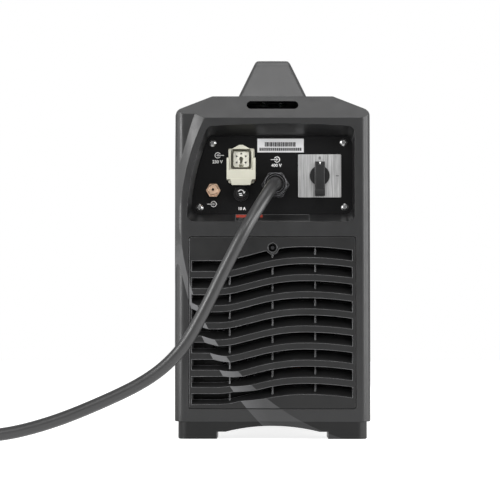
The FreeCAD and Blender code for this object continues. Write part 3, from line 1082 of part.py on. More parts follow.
def front_sockets():
    """Torch socket and work-lead socket, both seated on the bay's floor."""
    half = TORCH_FLANGE / 2
    face = BAY_DEPTH - 17
    flange = rounded_slab(TORCH_X - half, TORCH_X + half, SOCKETS_Z - half, SOCKETS_Z + half, 5, depth(BAY_DEPTH - 3),
                          depth(BAY_DEPTH))
    ring = rod(TORCH_RING_RADIUS, (TORCH_X, depth(face), SOCKETS_Z), Y_AXIS, 17)
    tail = rod(TORCH_RING_RADIUS - 1, (TORCH_X, depth(BAY_DEPTH), SOCKETS_Z), Y_AXIS, 18)
    bore = rod(TORCH_BORE_RADIUS, (TORCH_X, depth(face - 1), SOCKETS_Z), Y_AXIS, 26)
    key = box(TORCH_X - 3, TORCH_X + 3, depth(face - 1), depth(face + 14), SOCKETS_Z + TORCH_BORE_RADIUS - 1,
              SOCKETS_Z + TORCH_BORE_RADIUS + 2.5)
    heads = [pan_screw(TORCH_X + x, depth(BAY_DEPTH - 3), SOCKETS_Z + z, 2.7, 1.5, 1.5, 1.8)
             for x in (-half + 6, half - 6) for z in (-half + 6, half - 6)]
    shell = fuse_all(flange, ring, tail, *heads).cut(bore).cut(key)
    save("torch_socket_body", to_front(shell.removeSplitter()))
    pins = [tube(2.6, 1.2, (TORCH_X + 8.2 * math.cos(a), depth(face + 8), SOCKETS_Z + 8.2 * math.sin(a)), Y_AXIS, 17)
            for a in (math.radians(60 * i + 30) for i in range(6))]
    middle = tube(4.0, 2.0, (TORCH_X, depth(face + 4), SOCKETS_Z), Y_AXIS, 21)
    save("torch_socket_pins", *[to_front(pin) for pin in pins + [middle]])
    flange = rod(WORK_FLANGE_RADIUS, (WORK_X, depth(BAY_DEPTH - 4), SOCKETS_Z), Y_AXIS, 4)
    ring = rod(WORK_RING_RADIUS, (WORK_X, depth(face), SOCKETS_Z), Y_AXIS, 17)
    tail = rod(WORK_RING_RADIUS - 2, (WORK_X, depth(BAY_DEPTH), SOCKETS_Z), Y_AXIS, 20)
    core_radius = WORK_BORE_RADIUS + 3
    bore = rod(core_radius, (WORK_X, depth(face - 1), SOCKETS_Z), Y_AXIS, 60)
    key = box(WORK_X - 2.5, WORK_X + 2.5, depth(face - 1), depth(face + 15), SOCKETS_Z + core_radius - 1,
              SOCKETS_Z + core_radius + 3)
    grips = []
    for i in range(12):
        grip = rod(1.4, (WORK_X + WORK_RING_RADIUS + 0.6, depth(face - 1), SOCKETS_Z), Y_AXIS, 12)
        grip.rotate(V(WORK_X, 0, SOCKETS_Z), Y_AXIS, 30 * i)
        grips.append(grip)
    shell = fuse_all(flange, ring, tail).cut(bore).cut(key).cut(Part.makeCompound(grips))
    save("work_socket_body", to_front(shell.removeSplitter()))
    core = rod(core_radius - 0.02, (WORK_X, depth(face + 3), SOCKETS_Z), Y_AXIS, 22)
    core = core.cut(rod(WORK_BORE_RADIUS, (WORK_X, depth(face + 2), SOCKETS_Z), Y_AXIS, 20))
    stud = rod(6, (WORK_X, depth(face + 25), SOCKETS_Z), Y_AXIS, 24)
    save("work_socket_core", to_front(core.fuse(stud).removeSplitter()))


def control_panel():
    """Front plate with display window, dial and three buttons, and the board behind it."""
    plate = plate_form(PLATE_FACE, PLATE_BACK, 0, PLATE_CORNER)
    y = depth(PLATE_FACE - 1)
    half_w = DISPLAY_WIDTH / 2
    half_h = DISPLAY_HEIGHT / 2
    holes = [rounded_slab(DISPLAY_X - half_w, DISPLAY_X + half_w, DISPLAY_Z - half_h, DISPLAY_Z + half_h, 2, y, y + 4)]
    holes.append(rod(DIAL_SHAFT + 1, (DIAL_X, y, DIAL_Z), Y_AXIS, 4))
    holes += [rod(BUTTON_RADIUS + RUNNING_FIT, (x, y, BUTTON_Z), Y_AXIS, 4) for x in BUTTON_X]
    holes += [rod(PANEL_BOLT_RADIUS + FIT / 2, (x, y, z), Y_AXIS, 4) for x, z in PLATE_SCREWS]
    save("control_plate", to_front(plate.cut(Part.makeCompound(holes))))
    pane = rounded_slab(DISPLAY_X - half_w + 0.1, DISPLAY_X + half_w - 0.1, DISPLAY_Z - half_h + 0.1,
                        DISPLAY_Z + half_h - 0.1, 2, depth(PLATE_FACE - 0.6), depth(PLATE_BACK))
    back = rounded_slab(DISPLAY_X - half_w - 2, DISPLAY_X + half_w + 2, DISPLAY_Z - half_h - 2, DISPLAY_Z + half_h + 2, 2,
                        depth(PLATE_BACK), depth(PLATE_BACK + 1.2))
    save("display_window", to_front(pane.fuse(back).removeSplitter()))
    module = rounded_slab(DISPLAY_X - half_w + 2, DISPLAY_X + half_w - 2, DISPLAY_Z - half_h + 2, DISPLAY_Z + half_h - 2, 1,
                          depth(PLATE_BACK + 1.2 + FIT), depth(BOARD_D))
    save("control_dial", to_front(control_dial()))
    sleeve = rod(6, (DIAL_X, depth(PLATE_BACK), DIAL_Z), Y_AXIS, BOARD_D - PLATE_BACK)
    block = box(DIAL_X - 7, DIAL_X + 7, depth(PLATE_BACK + 2), depth(BOARD_D), DIAL_Z - 7, DIAL_Z + 7)
    bore = rod(DIAL_SHAFT + RUNNING_FIT, (DIAL_X, depth(PLATE_BACK - 1), DIAL_Z), Y_AXIS, 9)
    encoder = fuse_all(sleeve, block).cut(bore)
    board = box(BOARD_LEFT, BOARD_RIGHT, depth(BOARD_D), depth(BOARD_D + BOARD), BOARD_LOW, BOARD_HIGH)
    posts = [rod(2.8, (x, depth(PLATE_BACK), z), Y_AXIS, BOARD_D - PLATE_BACK)
             for x in (BOARD_LEFT + 6, BOARD_RIGHT - 6) for z in (BOARD_LOW + 5.5, BOARD_HIGH - 12)]
    plug_face = depth(BOARD_D + BOARD)
    plugs = [box(x, x + 22, plug_face, plug_face + 9, BOARD_LOW + 4, BOARD_LOW + 10) for x in (-40, -5, 30)]
    names = ("mode_button", "gas_test_button", "menu_button")
    switches = []
    for name, x in zip(names, BUTTON_X):
        collar_face = PLATE_BACK + FIT / 3
        head = rod(BUTTON_RADIUS, (x, depth(PLATE_FACE - 2.2), BUTTON_Z), Y_AXIS, collar_face - PLATE_FACE + 2.3)
        collar = rod(BUTTON_RADIUS + 1, (x, depth(collar_face), BUTTON_Z), Y_AXIS, 1.2)
        save(name, to_front(head.fuse(collar).removeSplitter()))
        top = collar_face + 1.2 + BUTTON_TRAVEL + 0.2
        switches.append(box(x - 3, x + 3, depth(top), depth(BOARD_D), BUTTON_Z - 3, BUTTON_Z + 3))
    whole = fuse_all(board, module, encoder, *(posts + plugs + switches))
    save("control_board", to_front(whole.removeSplitter()))


def control_dial():
    """The fluted setting dial with its shaft."""
    back = PLATE_FACE - FIT
    body = rod(DIAL_RADIUS, (DIAL_X, depth(back - DIAL_HEIGHT + 2), DIAL_Z), Y_AXIS, DIAL_HEIGHT - 2)
    nose = cone(DIAL_RADIUS - 2, DIAL_RADIUS, (DIAL_X, depth(back - DIAL_HEIGHT), DIAL_Z), Y_AXIS, 2)
    flutes = []
    for i in range(DIAL_FLUTES):
        flute = rod(1.5, (DIAL_X + DIAL_RADIUS + 0.7, depth(back - DIAL_HEIGHT - 1), DIAL_Z), Y_AXIS, DIAL_HEIGHT - 2)
        flute.rotate(V(DIAL_X, 0, DIAL_Z), Y_AXIS, 360 / DIAL_FLUTES * i)
        flutes.append(flute)
    dimple = rod(2.2, (DIAL_X, depth(back - DIAL_HEIGHT - 1), DIAL_Z + DIAL_RADIUS - 6), Y_AXIS, 1.8)
    shaft = rod(DIAL_SHAFT, (DIAL_X, depth(back - 0.5), DIAL_Z), Y_AXIS, PLATE_BACK + 7 - back)
    return fuse_all(body, nose, shaft).cut(Part.makeCompound(flutes)).cut(dimple).removeSplitter()

SINK_X0, SINK_X1 = -92.0, -16.0
SINK_Y0, SINK_Y1 = -160.0, 90.0
SINK_HEIGHT = 112.0
SINK_BASE = 7.0
FIN = 1.8
FIN_PITCH = 7.0
CORE_X = 50.0
CORE_Y = -100.0
CORE_WIDTH = 84.0
CORE_HEIGHT = 82.0
CORE_THICKNESS = 40.0
CORE_LEG = 14.0
BOARD_LIFT = 8.0


def power_parts():
    """Heatsink with its modules, main transformer, output choke, power board with capacitors, and the gas valve."""
    top = TRAY_TOP + SINK_HEIGHT
    base = box(SINK_X0, SINK_X1, SINK_Y0, SINK_Y1, top - SINK_BASE, top)
    count = int((SINK_X1 - SINK_X0 - FIN) / FIN_PITCH) + 1
    fins = [box(SINK_X0 + i * FIN_PITCH, SINK_X0 + i * FIN_PITCH + FIN, SINK_Y0, SINK_Y1, TRAY_TOP, top - SINK_BASE + 1)
            for i in range(count)]
    save("heatsink", fuse_all(base, *fins).removeSplitter())
    modules = []
    for i in range(3):
        y = SINK_Y0 + 30 + i * 75
        modules.append(box(SINK_X0 + 10, SINK_X1 - 10, y, y + 45, top, top + 16))
    save("power_modules", *modules)
    half = CORE_WIDTH / 2
    core = box(CORE_X - half, CORE_X + half, CORE_Y - CORE_THICKNESS / 2, CORE_Y + CORE_THICKNESS / 2, TRAY_TOP,
               TRAY_TOP + CORE_HEIGHT)
    window = half - 2 * CORE_LEG
    for x0 in (CORE_X - half + CORE_LEG, CORE_X + CORE_LEG):
        core = core.cut(box(x0, x0 + window, CORE_Y - CORE_THICKNESS, CORE_Y + CORE_THICKNESS, TRAY_TOP + CORE_LEG,
                            TRAY_TOP + CORE_HEIGHT - CORE_LEG))
    save("transformer_core", core)
    winding = rounded_prism(CORE_X, CORE_Y, CORE_LEG + window - FIT, CORE_THICKNESS / 2 + window - FIT, 8,
                            TRAY_TOP + CORE_LEG + FIT, TRAY_TOP + CORE_HEIGHT - CORE_LEG - FIT)
    leg = box(CORE_X - CORE_LEG - FIT, CORE_X + CORE_LEG + FIT, CORE_Y - CORE_THICKNESS / 2 - FIT,
              CORE_Y + CORE_THICKNESS / 2 + FIT, TRAY_TOP, TRAY_TOP + CORE_HEIGHT)
    save("transformer_winding", winding.cut(leg))
    save("output_choke", tube(38, 18, (CORE_X, 40, TRAY_TOP), Z_AXIS, 42))
    board_z = SHELF_Z + SHEET + BOARD_LIFT
    board = box(-70, 70, -110, 110, board_z, board_z + BOARD)
    posts = [rod(3, (x, y, SHELF_Z + SHEET), Z_AXIS, BOARD_LIFT + 0.5) for x in (-62, 62) for y in (-102, 102)]
    relays = [box(30, 56, y, y + 30, board_z + BOARD, board_z + BOARD + 22) for y in (-95, -55, 60)]
    save("power_board", fuse_all(board, *(posts + relays)).removeSplitter())
    cans = [rod(15, (x, y, board_z + BOARD), Z_AXIS, 42) for x in (-45, -10) for y in (-60, -20, 20)]
    save("capacitors", *cans)


def rounded_prism(x, y, half_x, half_y, radius, z0, z1):
    block = box(x - half_x, x + half_x, y - half_y, y + half_y, z0, z1)
    return block.makeFillet(radius, [e for e in block.Edges if e.BoundBox.ZLength > z1 - z0 - 1])


VALVE_FACE_D = 80.0
HOSE_RADIUS = 6.2


def gas_line():
    """The gas valve on the shelf and the short hose that feeds it from the inlet."""
    x = INLET_X
    floor = SHELF_Z + SHEET
    y = depth(VALVE_FACE_D)
    block = box(x - 18, x + 18, y, y + 44, floor, INLET_Z + 10)
    port = rod(4.0, (x, y - 14, INLET_Z), Y_AXIS, 15)
    coil = rod(13, (x, y + 26, INLET_Z + 9), Z_AXIS, 34)
    cap = rod(6, (x, y + 26, INLET_Z + 42), Z_AXIS, 6)
    valve = fuse_all(block, port, coil, cap).cut(rod(2, (x, y - 15, INLET_Z), Y_AXIS, 30))
    save("gas_valve", valve.removeSplitter())
    start = PLATE_FACE + 14 + FIT
    save("gas_hose", tube(HOSE_RADIUS, 4.4, (x, depth(start), INLET_Z), Y_AXIS, VALVE_FACE_D - start - FIT))

# Mains cable: 3 m of 13.5 mm rubber lead. It leaves the gland, falls to the floor at the machine's left and ends
# in a coil of two layers beside the picture, with its plug beside the coil.
FLOOR_CENTRE = CORD_RADIUS
COIL_X = -404.0
COIL_MIDDLE_RADIUS = 71.0
COIL_TURNS = 5.25
COIL_CLIMB = 0.5  # the half turn in which the lead climbs to the second layer
COIL_PITCH = 16.2
COIL_LAYER = 15.8
QUARTERS = 4
PLUG_AXIS_Z = 32.0
PLUG_RUN = 92.0  # from the coil's last turn to the plug
PLUG_SHIFT = 6.0
PLUG_BODY_RADIUS = 27.0
PLUG_BODY_LENGTH = 74.0
PLUG_FLOOR = 8.0
PLUG_SLEEVE = 40.0
PLUG_SLEEVE_RADIUS = 28.5
PLUG_PIN_CIRCLE = 15.0
PLUG_PIN_SHORTER = 7.0  # the pins end this far inside the sleeve
CABLE_Y = REAR - 92.0
CABLE_ROUTE = [
    (GLAND_X, REAR + CORD_START_D, GLAND_Z),
    (GLAND_X, REAR - 34.0, GLAND_Z),
    (-6.0, REAR - 69.0, 264.0),
    (-25.0, CABLE_Y, 232.0),
    (-48.0, CABLE_Y - 1, 188.0),
    (-72.0, CABLE_Y - 2, 138.0),
    (-95.0, CABLE_Y - 3, 97.0),
    (-129.0, CABLE_Y - 3, 66.5),
    (-180.0, CABLE_Y - 2, 42.0),
    (-235.0, CABLE_Y - 1, 20.0),
    (-290.0, CABLE_Y, FLOOR_CENTRE),
    (-352.0, CABLE_Y, FLOOR_CENTRE),
]


def arc_through(start, corner, end):
    """The arc from start to end that is tangent to the legs meeting at corner; both legs are equally long."""
    leg = (corner - start).Length
    if (start + end - corner * 2).Length < 1e-6 * leg:
        return Part.LineSegment(start, end).toShape()
    weight = (end - start).Length / (2 * leg)
    middle = (start + corner * (2 * weight) + end) * (1 / (2 + 2 * weight))
    return Part.Arc(start, middle, end).toShape()


def cord_path(points):
    """Straight runs joined by tangent arcs, each as large as its two runs allow; prints the radii."""
    spots = [V(*p) for p in points]
    edges = []
    radii = []
    last = spots[0]
    for before, corner, after in zip(spots, spots[1:], spots[2:]):
        back = before - corner
        ahead = after - corner
        half_turn = (math.pi - back.getAngle(ahead)) / 2
        reach = 0.45 * min(back.Length, ahead.Length)
        radii.append(reach / math.tan(half_turn))
        start = corner + back.normalize() * reach
        end = corner + ahead.normalize() * reach
        edges.append(Part.LineSegment(last, start).toShape())
        edges.append(arc_through(start, corner, end))
        last = end
    edges.append(Part.LineSegment(last, spots[-1]).toShape())
    print("cable arcs, mm:", [round(r) for r in radii])
    return Part.Wire(edges)


def sweep(wire, start, direction):
    """A round cord along a wire, as one pipe shell."""
    ring = Part.Wire(Part.Circle(start, direction, CORD_RADIUS).toShape())
    pipe = Part.BRepOffsetAPI.MakePipeShell(wire)
    pipe.add(ring)
    pipe.build()
    pipe.makeSolid()
    return Part.Solid(pipe.shape()) if pipe.shape().ShapeType != "Solid" else pipe.shape()


def coil_point(turn):
    """Where the coil's centre line is after so many turns, going clockwise from its front."""
    flat_turns = (COIL_TURNS - COIL_CLIMB) / 2
    inner = COIL_MIDDLE_RADIUS - flat_turns * COIL_PITCH / 2
    if turn < flat_turns:
        radius = inner + (flat_turns - turn) * COIL_PITCH
        height = 0.0
    elif turn < flat_turns + COIL_CLIMB:
        radius = inner
        height = (turn - flat_turns) / COIL_CLIMB
    else:
        radius = inner + (turn - flat_turns - COIL_CLIMB) * COIL_PITCH
        height = 1.0
    outer = inner + flat_turns * COIL_PITCH
    angle = -math.pi / 2 - 2 * math.pi * turn
    centre_y = CABLE_Y + outer
    height = height * height * (3 - 2 * height)
    return V(COIL_X + radius * math.cos(angle), centre_y + radius * math.sin(angle), FLOOR_CENTRE + height * COIL_LAYER)


def biarc(p0, t0, p1, t1):
    """Two tangent arcs from one point and direction to another."""
    v = p1 - p0
    t = t0 + t1
    spread = 2 * (1 - t0.dot(t1))
    if spread < 1e-9:
        reach = v.Length / 4
    else:
        reach = (-v.dot(t) + math.sqrt(v.dot(t) ** 2 + spread * v.Length**2)) / spread
    q0 = p0 + t0 * reach
    q1 = p1 - t1 * reach
    middle = (q0 + q1) * 0.5
    return [arc_through(p0, q0, middle), arc_through(middle, q1, p1)]


def coil_path():
    """The coil's centre line: a straight start, biarcs of a quarter turn, and a rise into the plug."""
    count = round(COIL_TURNS * QUARTERS)
    spots = [coil_point(i / QUARTERS) for i in range(count + 1)]
    ways = []
    for i in range(count + 1):
        low = max(i / QUARTERS - 0.02, 0)
        high = min(i / QUARTERS + 0.02, COIL_TURNS - 1e-6)
        ways.append((coil_point(high) - coil_point(low)).normalize())
    ways[0] = V(-1, 0, 0)
    ways[-1] = V(0, 1, 0)
    start = V(*CABLE_ROUTE[-1])
    edges = [Part.LineSegment(start, spots[0]).toShape()]
    for i in range(count):
        edges += biarc(spots[i], ways[i], spots[i + 1], ways[i + 1])
    rise_end = plug_start() - V(0, 2 * CORD_RADIUS, 0)
    edges += biarc(spots[-1], ways[-1], rise_end, V(0, 1, 0))
    edges.append(Part.LineSegment(rise_end, plug_start()).toShape())
    return Part.Wire(edges)


def plug_start():
    last = coil_point(COIL_TURNS - 1e-9)
    return V(last.x + PLUG_SHIFT, last.y + PLUG_RUN, PLUG_AXIS_Z)


def least_gap(wire):
    """The coil's least distance to itself, measured between points of its centre line."""
    count = 1200
    points = wire.discretize(Number=count)
    step = wire.Length / (count - 1)
    skip = int(8 * CORD_RADIUS / step)
    least = min((a - b).Length for i, a in enumerate(points) for b in points[i + skip:])
    return least - 2 * CORD_RADIUS


def mains_cable():
    route = cord_path(CABLE_ROUTE)
    cable = sweep(route, V(*CABLE_ROUTE[0]), V(0, -1, 0))
    coil_line = coil_path()
    coil = sweep(coil_line, V(*CABLE_ROUTE[-1]), V(-1, 0, 0))
    section = math.pi * CORD_RADIUS**2
    for name, solid, line in (("cable", cable, route), ("coil", coil, coil_line)):
        print(f"{name}: {line.Length:.0f} mm long, volume {solid.Volume / (section * line.Length):.4f} of section x length")
    print(f"whole lead {route.Length + coil_line.Length:.0f} mm, coil's least gap {least_gap(coil_line):.2f} mm")
    save("mains_cable", cable)
    save("mains_cable_coil", coil)


def mains_plug():
    """The four-pin industrial plug on the lead's end, lying on the floor."""
    start = plug_start() + V(0, 0.05, 0)
    x, y, z = start.x, start.y, start.z
    length = PLUG_BODY_LENGTH
    wide = PLUG_BODY_RADIUS
    profile = [(0, 0), (12, 0), (15, 3), (16, 14), (20, 18), (24, 24), (wide, 60), (wide, length), (0, length)]
    points = [V(x + r, y + s, z) for r, s in profile]
    face = Part.Face(Part.makePolygon(points + points[:1]))
    body = face.revolve(V(x, y, z), Y_AXIS, 360)
    ribs = []
    for i in range(10):
        rib = rod(1.6, (x + wide + 0.5, y + length - 16, z), Y_AXIS, 15)
        rib.rotate(V(x, 0, z), Y_AXIS, 36 * i + 18)
        ribs.append(rib)
    save("plug_body", body.cut(Part.makeCompound(ribs)).removeSplitter())
    ring_start = y + length
    sleeve_start = ring_start + PLUG_FLOOR
    ring = tube(PLUG_AXIS_Z, 22, (x, ring_start, z), Y_AXIS, PLUG_FLOOR)
    sleeve = tube(PLUG_SLEEVE_RADIUS, PLUG_SLEEVE_RADIUS - 3, (x, sleeve_start, z), Y_AXIS, PLUG_SLEEVE)
    floor = rod(PLUG_SLEEVE_RADIUS - 2.5, (x, ring_start, z), Y_AXIS, PLUG_FLOOR)
    key_low = z - PLUG_SLEEVE_RADIUS - 2.5
    key = box(x - 4, x + 4, sleeve_start, sleeve_start + PLUG_SLEEVE - 2, key_low, key_low + 3)
    save("plug_collar", fuse_all(ring, floor, sleeve, key).removeSplitter())
    pins = []
    for i, radius in enumerate((3.0, 2.5, 2.5, 2.5)):
        angle = math.radians(90 * i - 90)
        pin_x = x + PLUG_PIN_CIRCLE * math.cos(angle)
        pin_z = z + PLUG_PIN_CIRCLE * math.sin(angle)
        pins.append(rod(radius, (pin_x, sleeve_start, pin_z), Y_AXIS, PLUG_SLEEVE - PLUG_PIN_SHORTER))
    save("plug_pins", *pins)


def main():
    os.makedirs("parts", exist_ok=True)
    rear_bezel()
    rear_grille()
    grille_screws()
    connection_plate()
    supply_socket()
    fuse_holder()
    gas_inlet()
    cord_gland()
    main_switch()
    front_bezel()
    front_grille()
    front_sockets()
    control_panel()
    skirt = foot_skirt()
    save("rear_foot_skirt", skirt)
    save("front_foot_skirt", to_front(skirt))
    case_cover()
    base_tray()
    carrying_handle()
    inner_sheets()
    fan()
    power_parts()
    gas_line()
    mains_cable()
    mains_plug()


if __name__ == "__main__":
    main()
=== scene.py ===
"""Looks of the plasma cutter unit: finishes, prints, mains lead, floor, light and camera."""

import json
import math

import bpy
from mathutils import Matrix, Vector


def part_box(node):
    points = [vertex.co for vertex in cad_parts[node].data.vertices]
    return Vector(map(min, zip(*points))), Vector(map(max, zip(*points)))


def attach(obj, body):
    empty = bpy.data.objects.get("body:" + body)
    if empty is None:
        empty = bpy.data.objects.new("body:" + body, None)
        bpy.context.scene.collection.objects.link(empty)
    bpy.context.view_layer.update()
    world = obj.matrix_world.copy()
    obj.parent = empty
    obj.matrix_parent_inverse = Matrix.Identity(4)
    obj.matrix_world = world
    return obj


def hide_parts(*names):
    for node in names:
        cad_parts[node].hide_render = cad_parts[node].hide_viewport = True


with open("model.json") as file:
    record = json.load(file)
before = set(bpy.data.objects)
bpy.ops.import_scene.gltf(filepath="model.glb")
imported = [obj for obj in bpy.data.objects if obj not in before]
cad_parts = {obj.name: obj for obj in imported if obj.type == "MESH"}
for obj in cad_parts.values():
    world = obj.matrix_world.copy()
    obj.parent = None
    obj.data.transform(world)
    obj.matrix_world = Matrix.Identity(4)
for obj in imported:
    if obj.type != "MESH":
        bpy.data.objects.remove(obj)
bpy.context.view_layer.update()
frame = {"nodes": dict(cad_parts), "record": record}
NODES = frame["nodes"]

REAR = -0.252  # the rear end's face
PLATE = REAR + 0.026  # the connection panel's face, at the bottom of its recess
CAMERA_DISTANCE = 2.2
CAMERA_HEIGHT = 0.100
AIM_HEIGHT = 0.2075
LENS = 144.0
SHIFT_X = -0.045


def place_camera():
    """The photograph's long lens, level with the lower part of the rear face."""
    camera = bpy.data.objects.new("camera", bpy.data.cameras.new("camera"))
    bpy.context.scene.collection.objects.link(camera)
    camera.data.lens = LENS
    camera.data.shift_x = SHIFT_X
    camera.location = (0, REAR - CAMERA_DISTANCE, CAMERA_HEIGHT)
    aim = Vector((0, REAR, AIM_HEIGHT)) - camera.location
    camera.rotation_euler = aim.to_track_quat("-Z", "Y").to_euler()
    camera.data.clip_start, camera.data.clip_end = 0.05, 60
    bpy.context.scene.camera = camera


CORD_RADIUS = 0.00675
COIL_X = -0.404
CABLE_Y = REAR - 0.092
COIL_MIDDLE_RADIUS = 0.071
COIL_TURNS = 5.25
COIL_CLIMB = 0.5  # the share of a turn that goes from the lower layer to the upper
COIL_PITCH = 0.0162  # between two turns of a layer
COIL_LAYER = 0.0158  # between the two layers
POINTS_PER_TURN = 16
PLUG_AXIS_HEIGHT = 0.032
PLUG_RISE = 0.028  # the lead's last stretch, in front of the plug
PLUG_SAG = 0.001
CABLE_ROUTE = [
    (0.0033, -0.241, 0.281),
    (0.0033, -0.286, 0.281),
    (-0.006, -0.321, 0.264),
    (-0.025, CABLE_Y, 0.232),
    (-0.048, CABLE_Y - 0.001, 0.188),
    (-0.072, CABLE_Y - 0.002, 0.138),
    (-0.095, CABLE_Y - 0.003, 0.097),
    (-0.129, CABLE_Y - 0.003, 0.0665),
    (-0.180, CABLE_Y - 0.002, 0.042),
    (-0.235, CABLE_Y - 0.001, 0.020),
    (-0.290, CABLE_Y, CORD_RADIUS),
    (-0.352, CABLE_Y, CORD_RADIUS),
]


def coil_point(turn):
    """A control point of the coil after so many turns, going clockwise from its front."""
    flat_turns = (COIL_TURNS - COIL_CLIMB) / 2
    inner = COIL_MIDDLE_RADIUS - flat_turns * COIL_PITCH / 2
    wound = max(turn - flat_turns - COIL_CLIMB, 0) + max(flat_turns - turn, 0)
    radius = (inner + wound * COIL_PITCH) / math.cos(math.pi / POINTS_PER_TURN)
    climb = min(max((turn - flat_turns) / COIL_CLIMB, 0), 1)
    climb = climb * climb * (3 - 2 * climb)
    centre_y = CABLE_Y + inner + flat_turns * COIL_PITCH
    angle = -math.pi / 2 - 2 * math.pi * turn
    x, y = COIL_X + radius * math.cos(angle), centre_y + radius * math.sin(angle)
    return (x, y, CORD_RADIUS + climb * COIL_LAYER)


def tube_along(name, points, radius, sides, steps):
    """A round lead as one NURBS curve, with sides on each quarter and steps between two points."""
    curve = bpy.data.curves.new(name, "CURVE")
    curve.dimensions = "3D"
    curve.bevel_depth = 1.0  # times each point's radius
    curve.bevel_resolution = sides
    curve.resolution_u = steps
    curve.use_fill_caps = True
    spline = curve.splines.new("NURBS")
    spline.points.add(len(points) - 1)
    for spot, point in zip(spline.points, points):
        spot.co = (*point, 1)
        spot.radius = radius
    spline.order_u = 3
    spline.use_endpoint_u = True
    lead = bpy.data.objects.new(name, curve)
    bpy.context.scene.collection.objects.link(lead)
    return lead


def lay_cable():
    """The mains lead: from its gland to the floor, and wound up past the view's left edge."""
    points = list(CABLE_ROUTE)
    steps = round(COIL_TURNS * POINTS_PER_TURN)
    points += [coil_point((i + 0.5) / POINTS_PER_TURN) for i in range(steps)]
    plug_low, plug_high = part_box("plug_body")
    plug_x = (plug_low.x + plug_high.x) / 2
    points.append((plug_x, plug_low.y - PLUG_RISE, PLUG_AXIS_HEIGHT - PLUG_SAG))
    points.append((plug_x, plug_low.y, PLUG_AXIS_HEIGHT))
    lead = tube_along("mains_lead", points, CORD_RADIUS, sides=6, steps=8)
    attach(lead, "case")
    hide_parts("mains_cable", "mains_cable_coil")
    dress(lead, FINISHES["cable_rubber"])


OUTPUT_LEAD_RADIUS = 0.006
OUTPUT_LEAD_ROUTE = [
    (0.040, 0.070, 0.056),
    (0.028, 0.102, 0.052),
    (0.004, 0.136, 0.062),
    (-0.0202, 0.150, 0.0888),
    (-0.033, 0.151, 0.107),
    (-0.0455, 0.152, 0.1255),
    (-0.054, 0.163, 0.148),
    (-0.052, 0.182, 0.160),
]


def output_lead():
    """The inner lead from the output choke to the front inner panel, behind the work socket."""
    lead = tube_along("output_lead", OUTPUT_LEAD_ROUTE, OUTPUT_LEAD_RADIUS, sides=4, steps=12)
    dress(lead, FINISHES["cable_rubber"])
    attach(lead, "case")


def feed(tree, node, values):
    """Sets a node's inputs to numbers, or joins them to other nodes' outputs."""
    for key, value in values.items():
        if isinstance(value, bpy.types.NodeSocket):
            tree.links.new(value, node.inputs[key])
        else:
            node.inputs[key].default_value = value


def add(tree, kind, values=None, **settings):
    """A shader node with its plain settings and its inputs."""
    node = tree.nodes.new("ShaderNode" + kind)
    for key, value in settings.items():
        setattr(node, key, value)
    feed(tree, node, values or {})
    return node


COAT_ROUGHNESS = 0.2


def start_finish(name, roughness, metallic=0.0, specular=0.5, coat=0.0):
    """A new material with its node tree, its shader, and the place on the object."""
    finish = bpy.data.materials.new(name)
    finish.use_nodes = True
    tree = finish.node_tree
    shader = tree.nodes["Principled BSDF"]
    feed(tree, shader, {
        "Roughness": roughness, "Metallic": metallic, "Specular IOR Level": specular,
        "Coat Weight": coat, "Coat Roughness": COAT_ROUGHNESS,
    })
    place = add(tree, "TexCoord").outputs["Object"]
    return finish, tree, shader, place


def stretched(tree, place, scale):
    """The place, scaled by a different number along each axis."""
    return add(tree, "Mapping", {"Vector": place, "Scale": scale}).outputs["Vector"]


def noise(tree, place, scale, detail=2.0, rough=0.5):
    values = {"Vector": place, "Scale": scale, "Detail": detail, "Roughness": rough}
    return add(tree, "TexNoise", values).outputs["Fac"]


def spread(tree, value, low, high, to_low, to_high):
    """A value's range from low to high, stretched over another range."""
    ends = {"From Min": low, "From Max": high, "To Min": to_low, "To Max": to_high}
    return add(tree, "MapRange", {"Value": value, **ends}).outputs["Result"]


def times(tree, first, second):
    return add(tree, "Math", {0: first, 1: second}, operation="MULTIPLY").outputs["Value"]


def gloss_of(tree, value, roughness, down, up):
    """A roughness that wavers with a noise value, a little below and above its own number."""
    return spread(tree, value, 0.3, 0.7, roughness - down, roughness + up)


def bumped(tree, height, strength, depth, normal):
    """A normal with a height laid over it."""
    values = {"Height": height, "Strength": strength, "Distance": depth, "Normal": normal}
    return add(tree, "Bump", values).outputs["Normal"]


def tones(tree, factor, *stops):
    """A colour ramp through (place, colour) stops."""
    ramp = add(tree, "ValToRGB", {"Fac": factor})
    elements = ramp.color_ramp.elements
    while len(elements) < len(stops):
        elements.new(0.5)
    for element, (spot, colour) in zip(elements, stops):
        element.position = spot
        element.color = (*colour, 1)
    return ramp.outputs["Color"]


MIX_FACTOR, MIX_FIRST, MIX_SECOND, MIX_RESULT = 0, 6, 7, 2  # a Mix node's colour sockets


def mix(tree, factor, first, second):
    """A blend of two colours or colour outputs."""
    colours = [(*value, 1) if isinstance(value, tuple) else value for value in (first, second)]
    values = {MIX_FACTOR: factor, MIX_FIRST: colours[0], MIX_SECOND: colours[1]}
    return add(tree, "Mix", values, data_type="RGBA").outputs[MIX_RESULT]


def shade(colour, factor):
    return tuple(min(channel * factor, 1) for channel in colour)


EDGE_START, EDGE_FULL = 0.995, 0.85  # cosines between a face's own normal and the eased one


def rounded_edges(tree, radius):
    """The normal with edges eased by radius, and a mask that is 1 on those edges."""
    bevel = add(tree, "Bevel", {"Radius": radius}, samples=8).outputs["Normal"]
    flat = add(tree, "NewGeometry").outputs["Normal"]
    dot = add(tree, "VectorMath", {0: bevel, 1: flat}, operation="DOT_PRODUCT")
    return bevel, spread(tree, dot.outputs["Value"], EDGE_START, EDGE_FULL, 0.0, 1.0)


# Bounds on a face's normal: how far down its Z points, and how far sideways its X.
LEAN_START, LEAN_FULL = -0.06, -0.1
STEEP_START, STEEP_FULL = -0.3, -0.34
SIDE_START, SIDE_FULL = 0.12, 0.26
LEAST_BAND_HIGHLIGHT = 0.35
